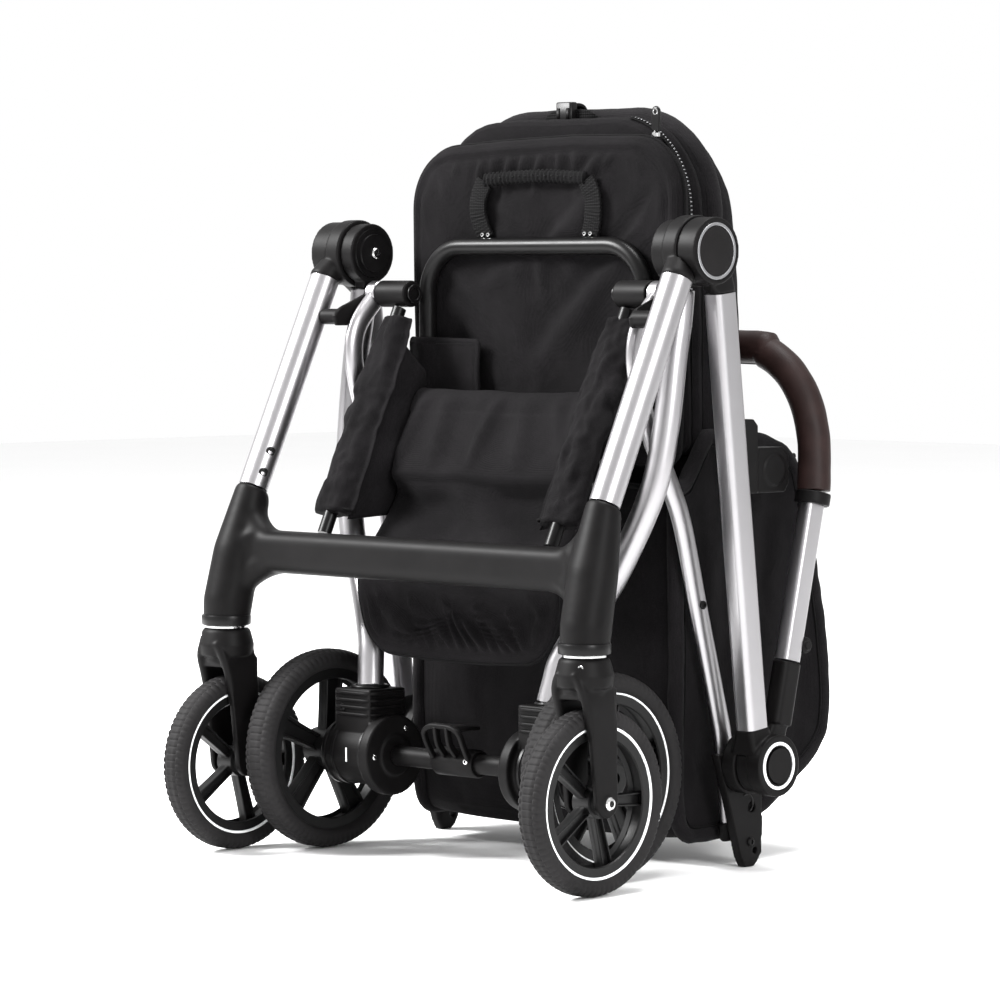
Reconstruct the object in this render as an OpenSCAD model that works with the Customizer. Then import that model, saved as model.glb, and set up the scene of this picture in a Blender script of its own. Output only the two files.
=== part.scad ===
// Folding baby stroller, shown folded and standing on its wheels and foot plates.
// X is across the stroller, -Y is its front, +Z is up, the floor is z = 0. Millimetres.

/* [Frame] */
// Half distance between the planes of the two side frames
frame_half = 241; // [240:1:242]
// Outer diameter of the front leg tubes
front_leg_d = 30; // [26:1:30]
// Outer diameter of the rear leg tubes
rear_leg_d = 26; // [22:1:26]
// Width of the frame link tube, across the stroller
link_w = 22; // [18:1:22]
// Depth of the frame link tube, front to back
link_d = 28; // [24:1:30]

/* [Wheels] */
// Radius of the front wheels
front_r = 88; // [84:1:88]
// Radius of the rear wheels
rear_r = 100; // [96:1:101]
// Width of the front tyres
front_tyre_w = 28; // [24:1:28]
// Width of the rear tyres
rear_tyre_w = 34; // [28:1:34]
// Number of spokes in a wheel
spokes = 5; // [4:1:6]

/* [Soft goods] */
// Half width of the backrest panel
panel_half = 183; // [165:1:184]
// Height of the top edge of the backrest panel
panel_top = 709; // [690:1:712]
// Height of the top of the canopy bow
canopy_top = 740; // [725:1:742]

/* [Hidden] */
$fn = 48;
gap = 0.2;            // clearance between pieces that only meet
run = 0.1;            // radial clearance of a running pin
wall = 2;             // wall of the metal tubes
middle_y = 40;        // middle of the whole stroller, front to back, in the drawing's datum

// Pivots, each [y, z] of an axis along X
hub = [28, 597];      // main fold pivot at the top of the legs
grip_hub = [120, 103]; // pivot of the handlebar
seat_pivot = [24, 556]; // pivot of the fold links and the seat tubes
axle = [-52, rear_r]; // rear axle
hub_pin_r = 8;
grip_pin_r = 7;
seat_pin_r = 6;

// Front leg, from the top end to the elbow, as [y, z]
leg_top = [-5, 570.5];
leg_low = [-104, 362];
leg_run = leg_low - leg_top;
leg_len = norm(leg_run);
leg_tilt = atan2(leg_run[0], -leg_run[1]);   // negative leans the foot forward

// Frame link, from the hub down to the handlebar pivot
link_top = [55, 557];
link_low = [103.5, 139];
link_run = link_low - link_top;
link_tilt = atan2(link_run[0], -link_run[1]);

// Caster, fork and front wheel
stem_x = 246;
stem_y = -136;
stem_low = 226;
wheel_y = -126;
wheel_x = 245;
fork_in = 223;
fork_out = 267;
fork_t = 6.5;
fork_pin_r = 4;

// Rear wheel and its housing
rear_x = 190;
rear_pin_r = 6;
housing_in = 88;
housing_out = 165;
housing_r = 32;

// Handlebar side tube: its centre line leans back by lean per unit of height
handle_y = 134;
lean = 0.237;
function handle_line(z) = handle_y + lean * (z - grip_hub[1]);
handle_tilt = atan(lean);
yoke_top = 200;
tube_top = 350;
collar_h = 14;

rear_leg_path = [[217.5, 27.5, 559], [217.5, 24, 530], [217.5, 17, 495], [216, 8, 430], [209, -2, 371],
    [185, -18, 304], [164, -26, 266], [145, -37, 235], [131, -46, 206], [127, -50, 186],
    [123.5, -53.5, 170.2]];
fold_link_path = [[193, 19, 550], [193, -4, 524], [193, -10, 495], [193, -2, 456], [193, 14, 418],
    [193, 37, 377], [193, 57, 335], [193, 79, 257], [193, 106, 163], [193, 117, 118], [193, 128, 27]];
grip_half = [[240, 196.4, 366.2], [238, 199, 385], [234, 203, 413], [226, 204, 443], [214, 203, 467],
    [198, 201, 485], [176, 200, 498], [148, 199, 504]];

// Points of a smooth curve through pts, with n steps between neighbours
function spline_point(a, b, c, d, t) =
    0.5 * (2 * b + (c - a) * t + (2 * a - 5 * b + 4 * c - d) * t * t + (3 * b - a - 3 * c + d) * t * t * t);
function smooth(pts, n = 3) = let (last = len(pts) - 1)
    [for (i = [0:last - 1]) for (k = [0:n - 1])
        spline_point(pts[max(i - 1, 0)], pts[i], pts[i + 1], pts[min(i + 2, last)], k / n), pts[last]];
function unit(v) = v / norm(v);
function flipped(pts) = [for (i = [len(pts) - 1:-1:0]) [-pts[i][0], pts[i][1], pts[i][2]]];

// A bar of elliptical section swept along a path; wide is its half size across the ref direction
module swept(path, wide, deep, ref = [1, 0, 0], sides = 16) {
    last = len(path) - 1;
    rings = [for (i = [0:last]) let (
            along = unit(path[min(i + 1, last)] - path[max(i - 1, 0)]),
            u = unit(ref - (ref * along) * along),
            v = cross(along, u))
        for (k = [0:sides - 1]) path[i] + wide * cos(360 * k / sides) * u + deep * sin(360 * k / sides) * v];
    walls = [for (i = [0:last - 1]) for (k = [0:sides - 1]) let (
            a = i * sides + k, b = i * sides + (k + 1) % sides)
        each [[a, b + sides, b], [a, a + sides, b + sides]]];
    ends = [[for (k = [0:sides - 1]) k], [for (k = [sides - 1:-1:0]) last * sides + k]];
    polyhedron(rings, concat(walls, ends), convexity = 6);
}

// side is 1 for the right-hand piece and -1 for the left-hand one
module on_side(side) { mirror([side < 0 ? 1 : 0, 0, 0]) children(); }

// Moves a piece from the drawing's datum to the origin, under the middle of the whole stroller
module placed(side = 1) { translate([0, -middle_y, 0]) on_side(side) children(); }

// A cylinder along X from x0 to x1 about the pivot p = [y, z]
module across(p, r, x0, x1) { translate([x0, p[0], p[1]]) rotate([0, 90, 0]) cylinder(r = r, h = x1 - x0); }

module rounded_rect(w, d, r) {
    square([w - 2 * r, d], center = true);
    square([w, d - 2 * r], center = true);
    for (i = [-1, 1]) for (j = [-1, 1]) translate([i * (w / 2 - r), j * (d / 2 - r)]) circle(r);
}

// A flat plate in a side plane, x0 to x1, with the outline given as [y, z] points
module side_plate(x0, x1, outline) {
    translate([x0, 0, 0]) rotate([90, 0, 90]) linear_extrude(x1 - x0) polygon(outline);
}

/* ---- front frame ---- */

module along_leg(from_top) {
    translate([frame_half, leg_top[0], leg_top[1]]) rotate([leg_tilt, 0, 0]) translate([0, 0, -from_top]) children();
}

module front_leg() color("silver") along_leg(leg_len) difference() {
    cylinder(d = front_leg_d, h = leg_len);
    translate([0, 0, -1]) cylinder(d = front_leg_d - 2 * wall, h = leg_len + 2);
}

module leg_elbow() color("#202022") difference() {
    union() {
        hull() {
            along_leg(leg_len + 6 + gap) cylinder(r = 17, h = 6, $fn = 32);
            translate([244, -123, 298]) sphere(r = 24, $fn = 32);
        }
        hull() {
            translate([244, -123, 298]) sphere(r = 24, $fn = 32);
            translate([stem_x, stem_y, stem_low]) cylinder(r = 23, h = 26, $fn = 32);
        }
        hull() {
            translate([244, -121, 298]) sphere(r = 22, $fn = 32);
            translate([214, -130, 279]) cube([2, 34, 42]);
        }
    }
    translate([stem_x, stem_y, stem_low - 1]) cylinder(r = 8 + run, h = 30);
}

module footrest_bar() color("#1c1c1e") {
    translate([-213.8, -113, 300]) rotate([90, 0, 90]) linear_extrude(2 * 213.8) rounded_rect(34, 42, 12);
}

module hub_core() color("#242426") difference() {
    union() {
        across(hub, 34, 221.5, 239.5);
        across(hub, hub_pin_r, 204.6, 256);
        hull() {
            along_leg(-gap) cylinder(d = front_leg_d + 1, h = 4, $fn = 32);
            across(hub, 20, 224, 239, $fn = 32);
        }
    }
    difference() {
        across(hub, 33, 239.6, 275);
        across(hub, hub_pin_r, 239, 256);
    }
}

module seat_bracket() color("#242426") {
    across(seat_pivot, 13.5, 143, 185.5);
    across(seat_pivot, seat_pin_r, 185, 201);
    side_plate(200.6, 204, [[14, 556], [18, 564], [28, 565], [34, 556], [30, 547], [-10, 524], [-26, 524], [-29, 534],
        [-20, 543]]);
    across([-20, 533], 8, 203, frame_half - front_leg_d / 2 - gap);
}

module seat_tubes() color("#57575b") for (side = [-1, 1]) on_side(side)
    translate([156, 18.5, 541]) rotate([-25.2, 0, 0]) translate([0, 0, -246]) cylinder(r = 7, h = 246);

module seat_sleeve() color("#1a1a1c") difference() {
    translate([155, 4, 510]) rotate([-25.2, 0, 0]) translate([0, 0, -188]) linear_extrude(188) rounded_rect(50, 20, 9);
    translate([156, 18.5, 541]) rotate([-25.2, 0, 0]) translate([0, 0, -246]) cylinder(r = 7 + gap, h = 246);
}

module seat_fabric() color("#19191b")
    side_plate(-132, 132, [[6, 456], [22, 456], [2, 392], [-16, 370], [-54, 326], [-68, 326], [-34, 378], [-14, 400]]);

module leg_rest() color("#19191b") {
    translate([0, -52, 0]) rotate([90, 0, 0]) linear_extrude(8)
        polygon([[-138, 298], [-138, 262], [-126, 228], [-110, 209], [-90, 201], [90, 201], [110, 209], [126, 228],
            [138, 262], [138, 298]]);
    across([-56, 298], 4, -138, 138);
}

module backrest_tube() color("#2a2a2d") {
    tube_half = 148;
    tube_y = 51.8;
    tube_r = 8.8;
    bend = 46;
    tube_z = 603;
    for (side = [-1, 1]) on_side(side) {
        translate([tube_half, tube_y, 452]) cylinder(r = tube_r, h = tube_z - bend - 452);
        translate([tube_half - bend, tube_y, tube_z - bend]) rotate([90, 0, 0])
            rotate_extrude(angle = 90) translate([bend, 0]) circle(tube_r);
    }
    translate([-tube_half + bend, tube_y, tube_z]) rotate([0, 90, 0])
        cylinder(r = tube_r, h = 2 * (tube_half - bend));
}

// Arch outline in the XZ plane: straight sides that end in large round top corners
module arch(half, low, top, corner) {
    translate([-half, low]) square([2 * half, top - corner - low]);
    translate([-half + corner, low]) square([2 * (half - corner), top - low]);
    for (i = [-1, 1]) translate([i * (half - corner), top - corner]) circle(corner);
}

module backrest_panel() color("#1b1b1d")
    translate([0, 84, 0]) rotate([90, 0, 0]) linear_extrude(23) arch(panel_half, 402, panel_top, 56);

module carry_handle() color("#151516") translate([0, 60.8, 0]) rotate([90, 0, 0]) linear_extrude(11) {
    for (i = [-1, 1]) translate([i * 71 - 7, 613]) square([14, 50]);
    translate([-78, 657]) square([156, 12]);
}

canopy_y = 126;
canopy_half = 177;
canopy_corner = 105;
bow_r = 7;

module canopy_fabric() color("#161618") intersection() {
    translate([0, 200, 0]) rotate([90, 0, 0]) linear_extrude(120)
        arch(canopy_half - bow_r - gap, 425, canopy_top - 2 * bow_r - gap, canopy_corner - bow_r);
    side_plate(-190, 190, [[86, 425], [165, 425], [177, 492], [174, 550], [169, 600], [161, 647], [152, 696], [142, 735],
        [86, 735]]);
}

module canopy_bow() color("#101011") translate([0, canopy_y, 0]) {
    bow_z = canopy_top - bow_r - canopy_corner;
    for (side = [-1, 1]) on_side(side) {
        translate([canopy_half, 0, 440]) cylinder(r = bow_r, h = bow_z - 440);
        translate([canopy_half - canopy_corner, 0, bow_z]) rotate([90, 0, 0])
            rotate_extrude(angle = 90) translate([canopy_corner, 0]) circle(bow_r);
    }
    translate([-canopy_half + canopy_corner, 0, bow_z + canopy_corner]) rotate([0, 90, 0])
        cylinder(r = bow_r, h = 2 * (canopy_half - canopy_corner));
}

module canopy_clip() color("#202022") translate([-21, canopy_y - 18, canopy_top - 1.6]) difference() {
    cube([26, 13, 8.2]);
    translate([8, -1, 3]) cube([10, 15, 2.6]);
}

module zip_pull() color("#2a2a2d") difference() {
    union() {
        translate([132, 78, 711.5]) cube([11, 3, 26.5]);
        across([79.5, 711.5], 1.5, 132, 143, $fn = 32);
    }
    translate([137.5, 82, 733]) rotate([90, 0, 0]) cylinder(r = 2.6, h = 6);
}

/* ---- upper frame: links, their hubs and the foot plates ---- */

module along_link(from_top) {
    translate([frame_half + 1, link_top[0], link_top[1]]) rotate([link_tilt, 0, 0]) translate([0, 0, -from_top]) children();
}

module frame_link() color("#d4d4d8") along_link(norm(link_run)) linear_extrude(norm(link_run)) difference() {
    rounded_rect(link_w, link_d, 7);
    rounded_rect(link_w - 2 * wall, link_d - 2 * wall, 5);
}

module hub_shell() color("#202022") difference() {
    union() {
        across(hub, 32, 240, 262);
        hull() {
            across(hub, 24, 241, 252, $fn = 32);
            intersection() {
                along_link(-gap) linear_extrude(5) rounded_rect(link_w, link_d, 7, $fn = 32);
                translate([240.2, 0, 500]) cube([30, 200, 200]);
            }
        }
    }
    across(hub, hub_pin_r + run, 239, 256.5);
    difference() {
        across(hub, 27, 260.5, 263);
        across(hub, 24, 260, 264);
    }
}

module handle_hub() color("#202022") difference() {
    union() {
        across(grip_hub, 30, 246, 262);
        across(grip_hub, 30, 214, 230);
        across(grip_hub, grip_pin_r, 214, 250);
        hull() {
            along_link(norm(link_run) + 5 + gap) linear_extrude(5) rounded_rect(link_w + 2, link_d + 2, 7, $fn = 32);
            across(grip_hub - [10, 0], 16, 222, 256, $fn = 32);
        }
    }
    difference() {
        across(grip_hub, 29, 230.5, 245.5);
        across(grip_hub, grip_pin_r, 230, 246);
    }
    across(grip_hub, 17.3, 256, 263);
    difference() {
        across(grip_hub, 23, 260.5, 263);
        across(grip_hub, 20, 260, 264);
    }
}

module handle_button() color("#1a1a1b") across(grip_hub, 17, 260, 263.5);

module foot_plate() color("#242426") difference() {
    union() {
        side_plate(204, 213.6, [[86, 112], [140, 112], [150, 80], [152, 40], [151, 12], [140, 0], [126, 0], [120, 10],
            [104, 62]]);
        across([136, 12], 12, 203, 213.6);
    }
    across([141, 15], 3.2, 202, 215);
    across([136, 58], 5, 208, 215);
}

module fold_catches() color("#262629") for (side = [-1, 1]) on_side(side) {
    side_plate(203, 229, [[124, 364], [166, 364], [172, 372], [172, 400], [164, 408], [124, 408]]);
    side_plate(215, 230.5, [[112, 364], [124.5, 364], [124.5, 430], [118, 436], [108, 436], [104, 426], [104, 398]]);
    across([150, 386], 15, 228, 231);
}

/* ---- handlebar ---- */

module along_handle(z) { translate([240, handle_line(z), z]) rotate([-handle_tilt, 0, 0]) children(); }

module handle_yoke() color("#202022") difference() {
    union() {
        across(grip_hub, 28, 231, 245);
        hull() {
            across(grip_hub + [10, 8], 14, 231, 245, $fn = 32);
            along_handle(yoke_top - 60) translate([-2, 0, 0]) linear_extrude(2) rounded_rect(16, 24, 6, $fn = 32);
        }
        along_handle(yoke_top - 60) linear_extrude(61) rounded_rect(20, 26, 6);
    }
    across(grip_hub, grip_pin_r + run, 230, 246);
}

module handle_tube() color("silver") along_handle(yoke_top + 1 + gap) linear_extrude((tube_top - yoke_top) * 1.028 - 1)
    difference() {
        rounded_rect(18, 24, 6);
        rounded_rect(18 - 2 * wall, 24 - 2 * wall, 4);
    }

module handle_collars() color("#1a1a1b") for (side = [-1, 1]) on_side(side)
    along_handle(tube_top + 1.4) cylinder(r = 17.5, h = collar_h - 2);

module handle_grip() color("#3a302d") {
    half = smooth(grip_half);
    swept(concat(half, flipped(half)), 16.5, 16.5, ref = [0, 1, 0], sides = 20);
}

module handle_knobs() color("#29292b") for (side = [-1, 1]) on_side(side) difference() {
    union() {
        across([handle_line(217) + 16, 215], 8, 234, 248);
        across([handle_line(217) + 16, 215], 4.5, 247, 251);
    }
    along_handle(yoke_top) linear_extrude(60) rounded_rect(18 + 2 * gap, 24 + 2 * gap, 6);
}

/* ---- rear frame ---- */

module rear_leg() color("silver") swept(smooth(rear_leg_path), rear_leg_d / 2, rear_leg_d / 2, sides = 20);

module rear_hub() color("#242426") difference() {
    union() {
        across(hub, 30, 204.6, 221);
        translate([206, 17, 561]) cube([14.8, 22, 20.5]);
    }
    across(hub, hub_pin_r + run, 204, 222);
}

module rear_housing() color("#202022") {
    across(axle, housing_r, housing_in + 8, housing_out);
    across(axle, 20, housing_in, housing_out);
    across(axle, 40, housing_in + 2, housing_in + 15);
    across(axle, rear_pin_r, housing_out - 1, 204);
    translate([102, axle[0] - 24, axle[1] + 8]) cube([50, 49, 57]);
}

module rear_axle() color("#1d1d1f") across(axle, 10, -housing_in + gap, housing_in - gap);

module brake_pedal() color("#18181a") difference() {
    union() {
        across(axle, 14, -28, 28);
        translate([-24, -78, 128]) cube([48, 22, 8]);
        for (x = [-20, -3, 14]) translate([x, -66, 106]) cube([6, 10, 24]);
    }
    across(axle, 10 + run, -30, 30);
}

module storage_basket() color("#141415") difference() {
    side_plate(-182, 182, [[60, 40], [72, 24], [140, 24], [200, 52], [262, 82], [290, 112], [294, 170], [288, 230],
        [272, 295], [246, 368], [60, 368]]);
    side_plate(-172, 172, [[70, 50], [140, 36], [196, 64], [256, 92], [278, 118], [282, 170], [276, 230], [262, 290],
        [236, 380], [70, 380]]);
}

/* ---- fold links ---- */

module fold_link() color("silver") difference() {
    union() {
        swept(smooth(fold_link_path), 7, 11);
        across(seat_pivot, 13, 187, 199);
    }
    across(seat_pivot, seat_pin_r + run, 180, 206);
}

/* ---- wheels ---- */

module tyre(r, w, bead) rotate([0, 90, 0]) rotate_extrude() difference() {
    union() {
        translate([bead, -w / 2 + 2]) square([r - bead - w / 2 + 4, w - 4]);
        translate([r - w / 2, 0]) circle(w / 2);
    }
    translate([0, -w]) square([bead, 2 * w]);
}

module rim(r, w, hub_r, hub_w, bore) difference() {
    union() {
        rotate([0, 90, 0]) difference() {
            cylinder(r = r, h = w, center = true);
            cylinder(r = r - 6, h = w + 2, center = true);
        }
        rotate([0, 90, 0]) cylinder(r = hub_r, h = hub_w, center = true);
        for (i = [0:spokes - 1]) rotate([180 + i * 360 / spokes, 0, 0])
            translate([-w / 4, -8, hub_r - 2]) cube([w / 2, 16, r - hub_r - 1]);
    }
    rotate([0, 90, 0]) cylinder(r = bore, h = hub_w + 2, center = true);
}

module at_front_wheel() translate([wheel_x, wheel_y, front_r]) children();
module at_rear_wheel() translate([rear_x, axle[0], axle[1]]) children();
front_bead = 70;
rear_bead = 80;

module front_tyre() color("#232325") at_front_wheel() tyre(front_r, front_tyre_w, front_bead);
module front_rim() color("#1b1b1d") at_front_wheel() rim(front_bead, 20, 15, 28, fork_pin_r + run);
module rear_tyre() color("#232325") at_rear_wheel() tyre(rear_r, rear_tyre_w, rear_bead);
module rear_rim() color("#1b1b1d") at_rear_wheel() rim(rear_bead, 22, 20, 34, rear_pin_r + run);

module front_fork() color("#202022") difference() {
    union() {
        translate([stem_x, stem_y, 190]) cylinder(r = 22, h = 33);
        translate([stem_x, stem_y, 200]) cylinder(r = 8, h = 48);
        hull() {
            translate([fork_in, stem_y - 18, 184]) cube([fork_out - fork_in, 40, 8]);
            translate([stem_x, stem_y, 190]) cylinder(r = 21, h = 14, $fn = 32);
        }
        for (x = [fork_in, fork_out - fork_t]) {
            hull() {
                translate([x, stem_y - 16, 184]) cube([fork_t, 38, 4]);
                across([wheel_y, front_r], 14, x, x + fork_t, $fn = 32);
            }
        }
        across([wheel_y, front_r], fork_pin_r, fork_in + 1, fork_out - 1);
        across([wheel_y, front_r], 6.5, fork_out - 1, fork_out + 1.5);
    }
    translate([stem_x, stem_y, 247]) cylinder(r = 3, h = 5);
}

placed(-1) front_leg();  // front_leg_left
placed(1) front_leg();  // front_leg_right
placed(-1) leg_elbow();  // leg_elbow_left
placed(1) leg_elbow();  // leg_elbow_right
placed() footrest_bar();
placed(-1) hub_core();  // hub_core_left
placed(1) hub_core();  // hub_core_right
placed(-1) seat_bracket();  // seat_bracket_left
placed(1) seat_bracket();  // seat_bracket_right
placed() seat_tubes();
placed(-1) seat_sleeve();  // seat_sleeve_left
placed(1) seat_sleeve();  // seat_sleeve_right
placed() seat_fabric();
placed() leg_rest();
placed() backrest_tube();
placed() backrest_panel();
placed() carry_handle();
placed() canopy_fabric();
placed() canopy_bow();
placed() canopy_clip();
placed() zip_pull();
placed() fold_catches();
placed(-1) frame_link();  // frame_link_left
placed(1) frame_link();  // frame_link_right
placed(-1) hub_shell();  // hub_shell_left
placed(1) hub_shell();  // hub_shell_right
placed(-1) handle_hub();  // handle_hub_left
placed(1) handle_hub();  // handle_hub_right
placed(-1) foot_plate();  // foot_plate_left
placed(1) foot_plate();  // foot_plate_right
placed(-1) handle_button();  // handle_button_left
placed(1) handle_button();  // handle_button_right
placed(-1) rear_leg();  // rear_leg_left
placed(1) rear_leg();  // rear_leg_right
placed(-1) rear_hub();  // rear_hub_left
placed(1) rear_hub();  // rear_hub_right
placed(-1) rear_housing();  // rear_housing_left
placed(1) rear_housing();  // rear_housing_right
placed() rear_axle();
placed() storage_basket();
placed() brake_pedal();
placed(-1) fold_link();  // fold_link_left
placed(1) fold_link();  // fold_link_right
placed(-1) handle_tube();  // handle_tube_left
placed(1) handle_tube();  // handle_tube_right
placed(-1) handle_yoke();  // handle_yoke_left
placed(1) handle_yoke();  // handle_yoke_right
placed() handle_grip();
placed() handle_collars();
placed() handle_knobs();
placed(-1) front_fork();  // front_fork_left
placed(1) front_fork();  // front_fork_right
placed(-1) front_tyre();  // front_tyre_left
placed(1) front_tyre();  // front_tyre_right
placed(-1) front_rim();  // front_rim_left
placed(1) front_rim();  // front_rim_right
placed(-1) rear_tyre();  // rear_tyre_left
placed(1) rear_tyre();  // rear_tyre_right
placed(-1) rear_rim();  // rear_rim_left
placed(1) rear_rim();  // rear_rim_right
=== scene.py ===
"""Looks of the folded baby stroller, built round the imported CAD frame. Metres; +X across, -Y front, +Z up."""

import math

import bmesh
import bpy
import numpy as np
from mathutils import Matrix, Vector, noise


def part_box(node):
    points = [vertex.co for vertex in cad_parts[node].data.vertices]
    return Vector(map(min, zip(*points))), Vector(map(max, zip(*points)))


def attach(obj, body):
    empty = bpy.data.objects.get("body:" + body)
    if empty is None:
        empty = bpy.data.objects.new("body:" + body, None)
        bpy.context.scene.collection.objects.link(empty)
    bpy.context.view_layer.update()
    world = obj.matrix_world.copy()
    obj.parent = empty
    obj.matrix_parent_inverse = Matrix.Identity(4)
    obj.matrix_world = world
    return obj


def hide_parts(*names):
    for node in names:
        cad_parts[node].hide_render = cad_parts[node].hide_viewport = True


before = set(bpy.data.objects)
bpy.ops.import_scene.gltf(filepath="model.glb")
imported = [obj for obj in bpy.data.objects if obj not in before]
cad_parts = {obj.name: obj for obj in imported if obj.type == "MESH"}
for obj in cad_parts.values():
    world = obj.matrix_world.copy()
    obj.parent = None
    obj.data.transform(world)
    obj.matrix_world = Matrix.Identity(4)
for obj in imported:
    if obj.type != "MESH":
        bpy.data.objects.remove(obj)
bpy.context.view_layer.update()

MM = 0.001
MIDDLE_Y = 40  # the drawing's datum is this far in front of the origin, in millimetres
HUB = (28, 597)  # main fold pivot, (y, z) in the drawing's datum
GRIP_HUB = (120, 103)
SEAT_PIVOT = (24, 556)
AXLE = (-52, 100)
FRONT_AXLE = (-126, 88)
STEM = (246, -136)  # the caster's upright axis, (x, y)
LUG_STEPS = 6  # steps round the tyre for each tread block
SPOKES = 5
WHEEL_BORE = 0.0062
CANOPY_MIDDLE = 575
FLOOR_HALF, FLOOR_DROP = 9, 0.0006  # the floor lies just under the tyres
SIDES = (("left", -1), ("right", 1))
AXIS_X, AXIS_Y, AXIS_Z = Vector((1, 0, 0)), Vector((0, 1, 0)), Vector((0, 0, 1))


def at(x, y, z):
    """A point of the drawing, in millimetres, as a place in the frame."""
    return Vector((x * MM, (y - MIDDLE_Y) * MM, z * MM))


def uneven(x, y, z):
    """Smooth noise between about -1 and 1."""
    return noise.noise(Vector((x, y, z)))


# ---------------------------------------------------------------- mesh helpers


def linked(name, data):
    piece = bpy.data.objects.new(name, data)
    bpy.context.scene.collection.objects.link(piece)
    return piece


def mesh_object(name, verts, faces):
    data = bpy.data.meshes.new(name)
    data.from_pydata([tuple(v) for v in verts], [], faces)
    data.validate()
    data.update()
    tidy_normals(data)
    data.polygons.foreach_set("use_smooth", [True] * len(data.polygons))
    piece = linked(name, data)
    return piece


def tidy_normals(data):
    work = bmesh.new()
    work.from_mesh(data)
    bmesh.ops.recalc_face_normals(work, faces=work.faces)
    work.to_mesh(data)
    work.free()


def applied(piece):
    """Puts the result of the modifiers into the mesh."""
    bpy.context.view_layer.update()
    graph = bpy.context.evaluated_depsgraph_get()
    data = bpy.data.meshes.new_from_object(piece.evaluated_get(graph))
    piece.modifiers.clear()
    piece.data = data
    data.polygons.foreach_set("use_smooth", [True] * len(data.polygons))
    return piece


def modify(piece, kind, **settings):
    modifier = piece.modifiers.new(kind.title(), kind)
    for key, value in settings.items():
        setattr(modifier, key, value)
    return modifier


def sharp_edges(piece, degrees=35):
    """Smooth shading that keeps edges sharper than the angle."""
    data = piece.data
    work = bmesh.new()
    work.from_mesh(data)
    for edge in work.edges:
        if len(edge.link_faces) == 2 and edge.calc_face_angle(0) > math.radians(degrees):
            edge.smooth = False
    work.to_mesh(data)
    work.free()
    return piece


def joined(name, pieces):
    """One object from several, with their materials kept."""
    graph = bpy.context.evaluated_depsgraph_get()
    work = bmesh.new()
    materials = []
    for piece in pieces:
        if piece.modifiers:
            data = bpy.data.meshes.new_from_object(piece.evaluated_get(graph))
        else:
            data = piece.data.copy()
        data.transform(piece.matrix_basis)
        shift = []
        for material in data.materials:
            if material not in materials:
                materials.append(material)
            shift.append(materials.index(material))
        if shift:
            for polygon in data.polygons:
                polygon.material_index = shift[min(polygon.material_index, len(shift) - 1)]
        work.from_mesh(data)
        bpy.data.objects.remove(piece)
    data = bpy.data.meshes.new(name)
    work.to_mesh(data)
    work.free()
    for material in materials:
        data.materials.append(material)
    piece = linked(name, data)
    return piece


def mirrored(piece, name):
    data = piece.data.copy()
    data.transform(Matrix.Diagonal((-1, 1, 1, 1)))
    data.flip_normals()
    other = linked(name, data)
    return other


def smooth_path(points, steps=8):
    """Points of a smooth curve through the given ones."""
    last = len(points) - 1
    out = []
    for i in range(last):
        a, b = points[max(i - 1, 0)], points[i]
        c, d = points[i + 1], points[min(i + 2, last)]
        for k in range(steps):
            t = k / steps
            out.append(
                0.5 * (2 * b + (c - a) * t + (2 * a - 5 * b + 4 * c - d) * t * t + (3 * b - a - 3 * c + d)
                       * t ** 3)
            )
    return out + [points[last]]


def resampled(points, step, closed=False):
    """Even spacing along a line of points."""
    points = np.array(points, dtype=float)
    if closed:
        points = np.vstack([points, points[:1]])
    lengths = np.concatenate([[0], np.cumsum(np.linalg.norm(np.diff(points, axis=0), axis=1))])
    count = max(4, int(round(lengths[-1] / step)))
    places = np.linspace(0, lengths[-1], count + 1)
    if closed:
        places = places[:-1]
    return np.stack([np.interp(places, lengths, points[:, k]) for k in range(points.shape[1])], axis=1)


def band_faces(rings, count, closed=False, base=0):
    """Quads between rings of count points; closed joins the last ring to the first."""
    faces = []
    for i in range(rings if closed else rings - 1):
        here, ahead = base + i * count, base + (i + 1) % rings * count
        for k in range(count):
            j = (k + 1) % count
            faces.append((here + k, here + j, ahead + j, ahead + k))
    return faces


def end_faces(rings, count, base=0):
    """One flat face on the first ring and one on the last."""
    return [tuple(range(base, base + count)), tuple(base + (rings - 1) * count + k for k in range(count))]


def square_to(axis):
    """The axis at unit length, with two directions square to it."""
    axis = Vector(axis).normalized()
    helper = AXIS_Z if abs(axis.z) < 0.9 else AXIS_Y
    u = axis.cross(helper).normalized()
    return axis, u, axis.cross(u)


def round_section(width, depth, sides=40):
    return [
        (width * math.cos(2 * math.pi * k / sides),
         depth * math.sin(2 * math.pi * k / sides)) for k in range(sides)
    ]


def box_section(width, depth, corner, steps=6):
    """Rounded rectangle, in metres, as half sizes about its centre."""
    out = []
    for quarter, (sx, sy) in enumerate(((1, 1), (-1, 1), (-1, -1), (1, -1))):
        for k in range(steps + 1):
            angle = math.radians(90 * (quarter + k / steps))
            out.append(
                (
                    sx * (width / 2 - corner) + corner * math.cos(angle),
                    sy * (depth / 2 - corner) + corner * math.sin(angle),
                )
            )
    return out


def sweep(name, path, section, across=AXIS_X, scale=None, closed=False):
    """A section carried along a path; across is the direction that the section's first axis keeps to."""
    verts, last = [], len(path) - 1
    for i, place in enumerate(path):
        if closed:
            along = (path[(i + 1) % len(path)] - path[i - 1]).normalized()
        else:
            along = (path[min(i + 1, last)] - path[max(i - 1, 0)]).normalized()
        u = (across - across.dot(along) * along).normalized()
        v = along.cross(u)
        size = scale(i / max(last, 1)) if scale else (1, 1)
        for a, b in section:
            verts.append(place + a * size[0] * u + b * size[1] * v)
    faces = band_faces(len(path), len(section), closed)
    if not closed:
        faces += end_faces(len(path), len(section))
    return mesh_object(name, verts, faces)


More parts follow.
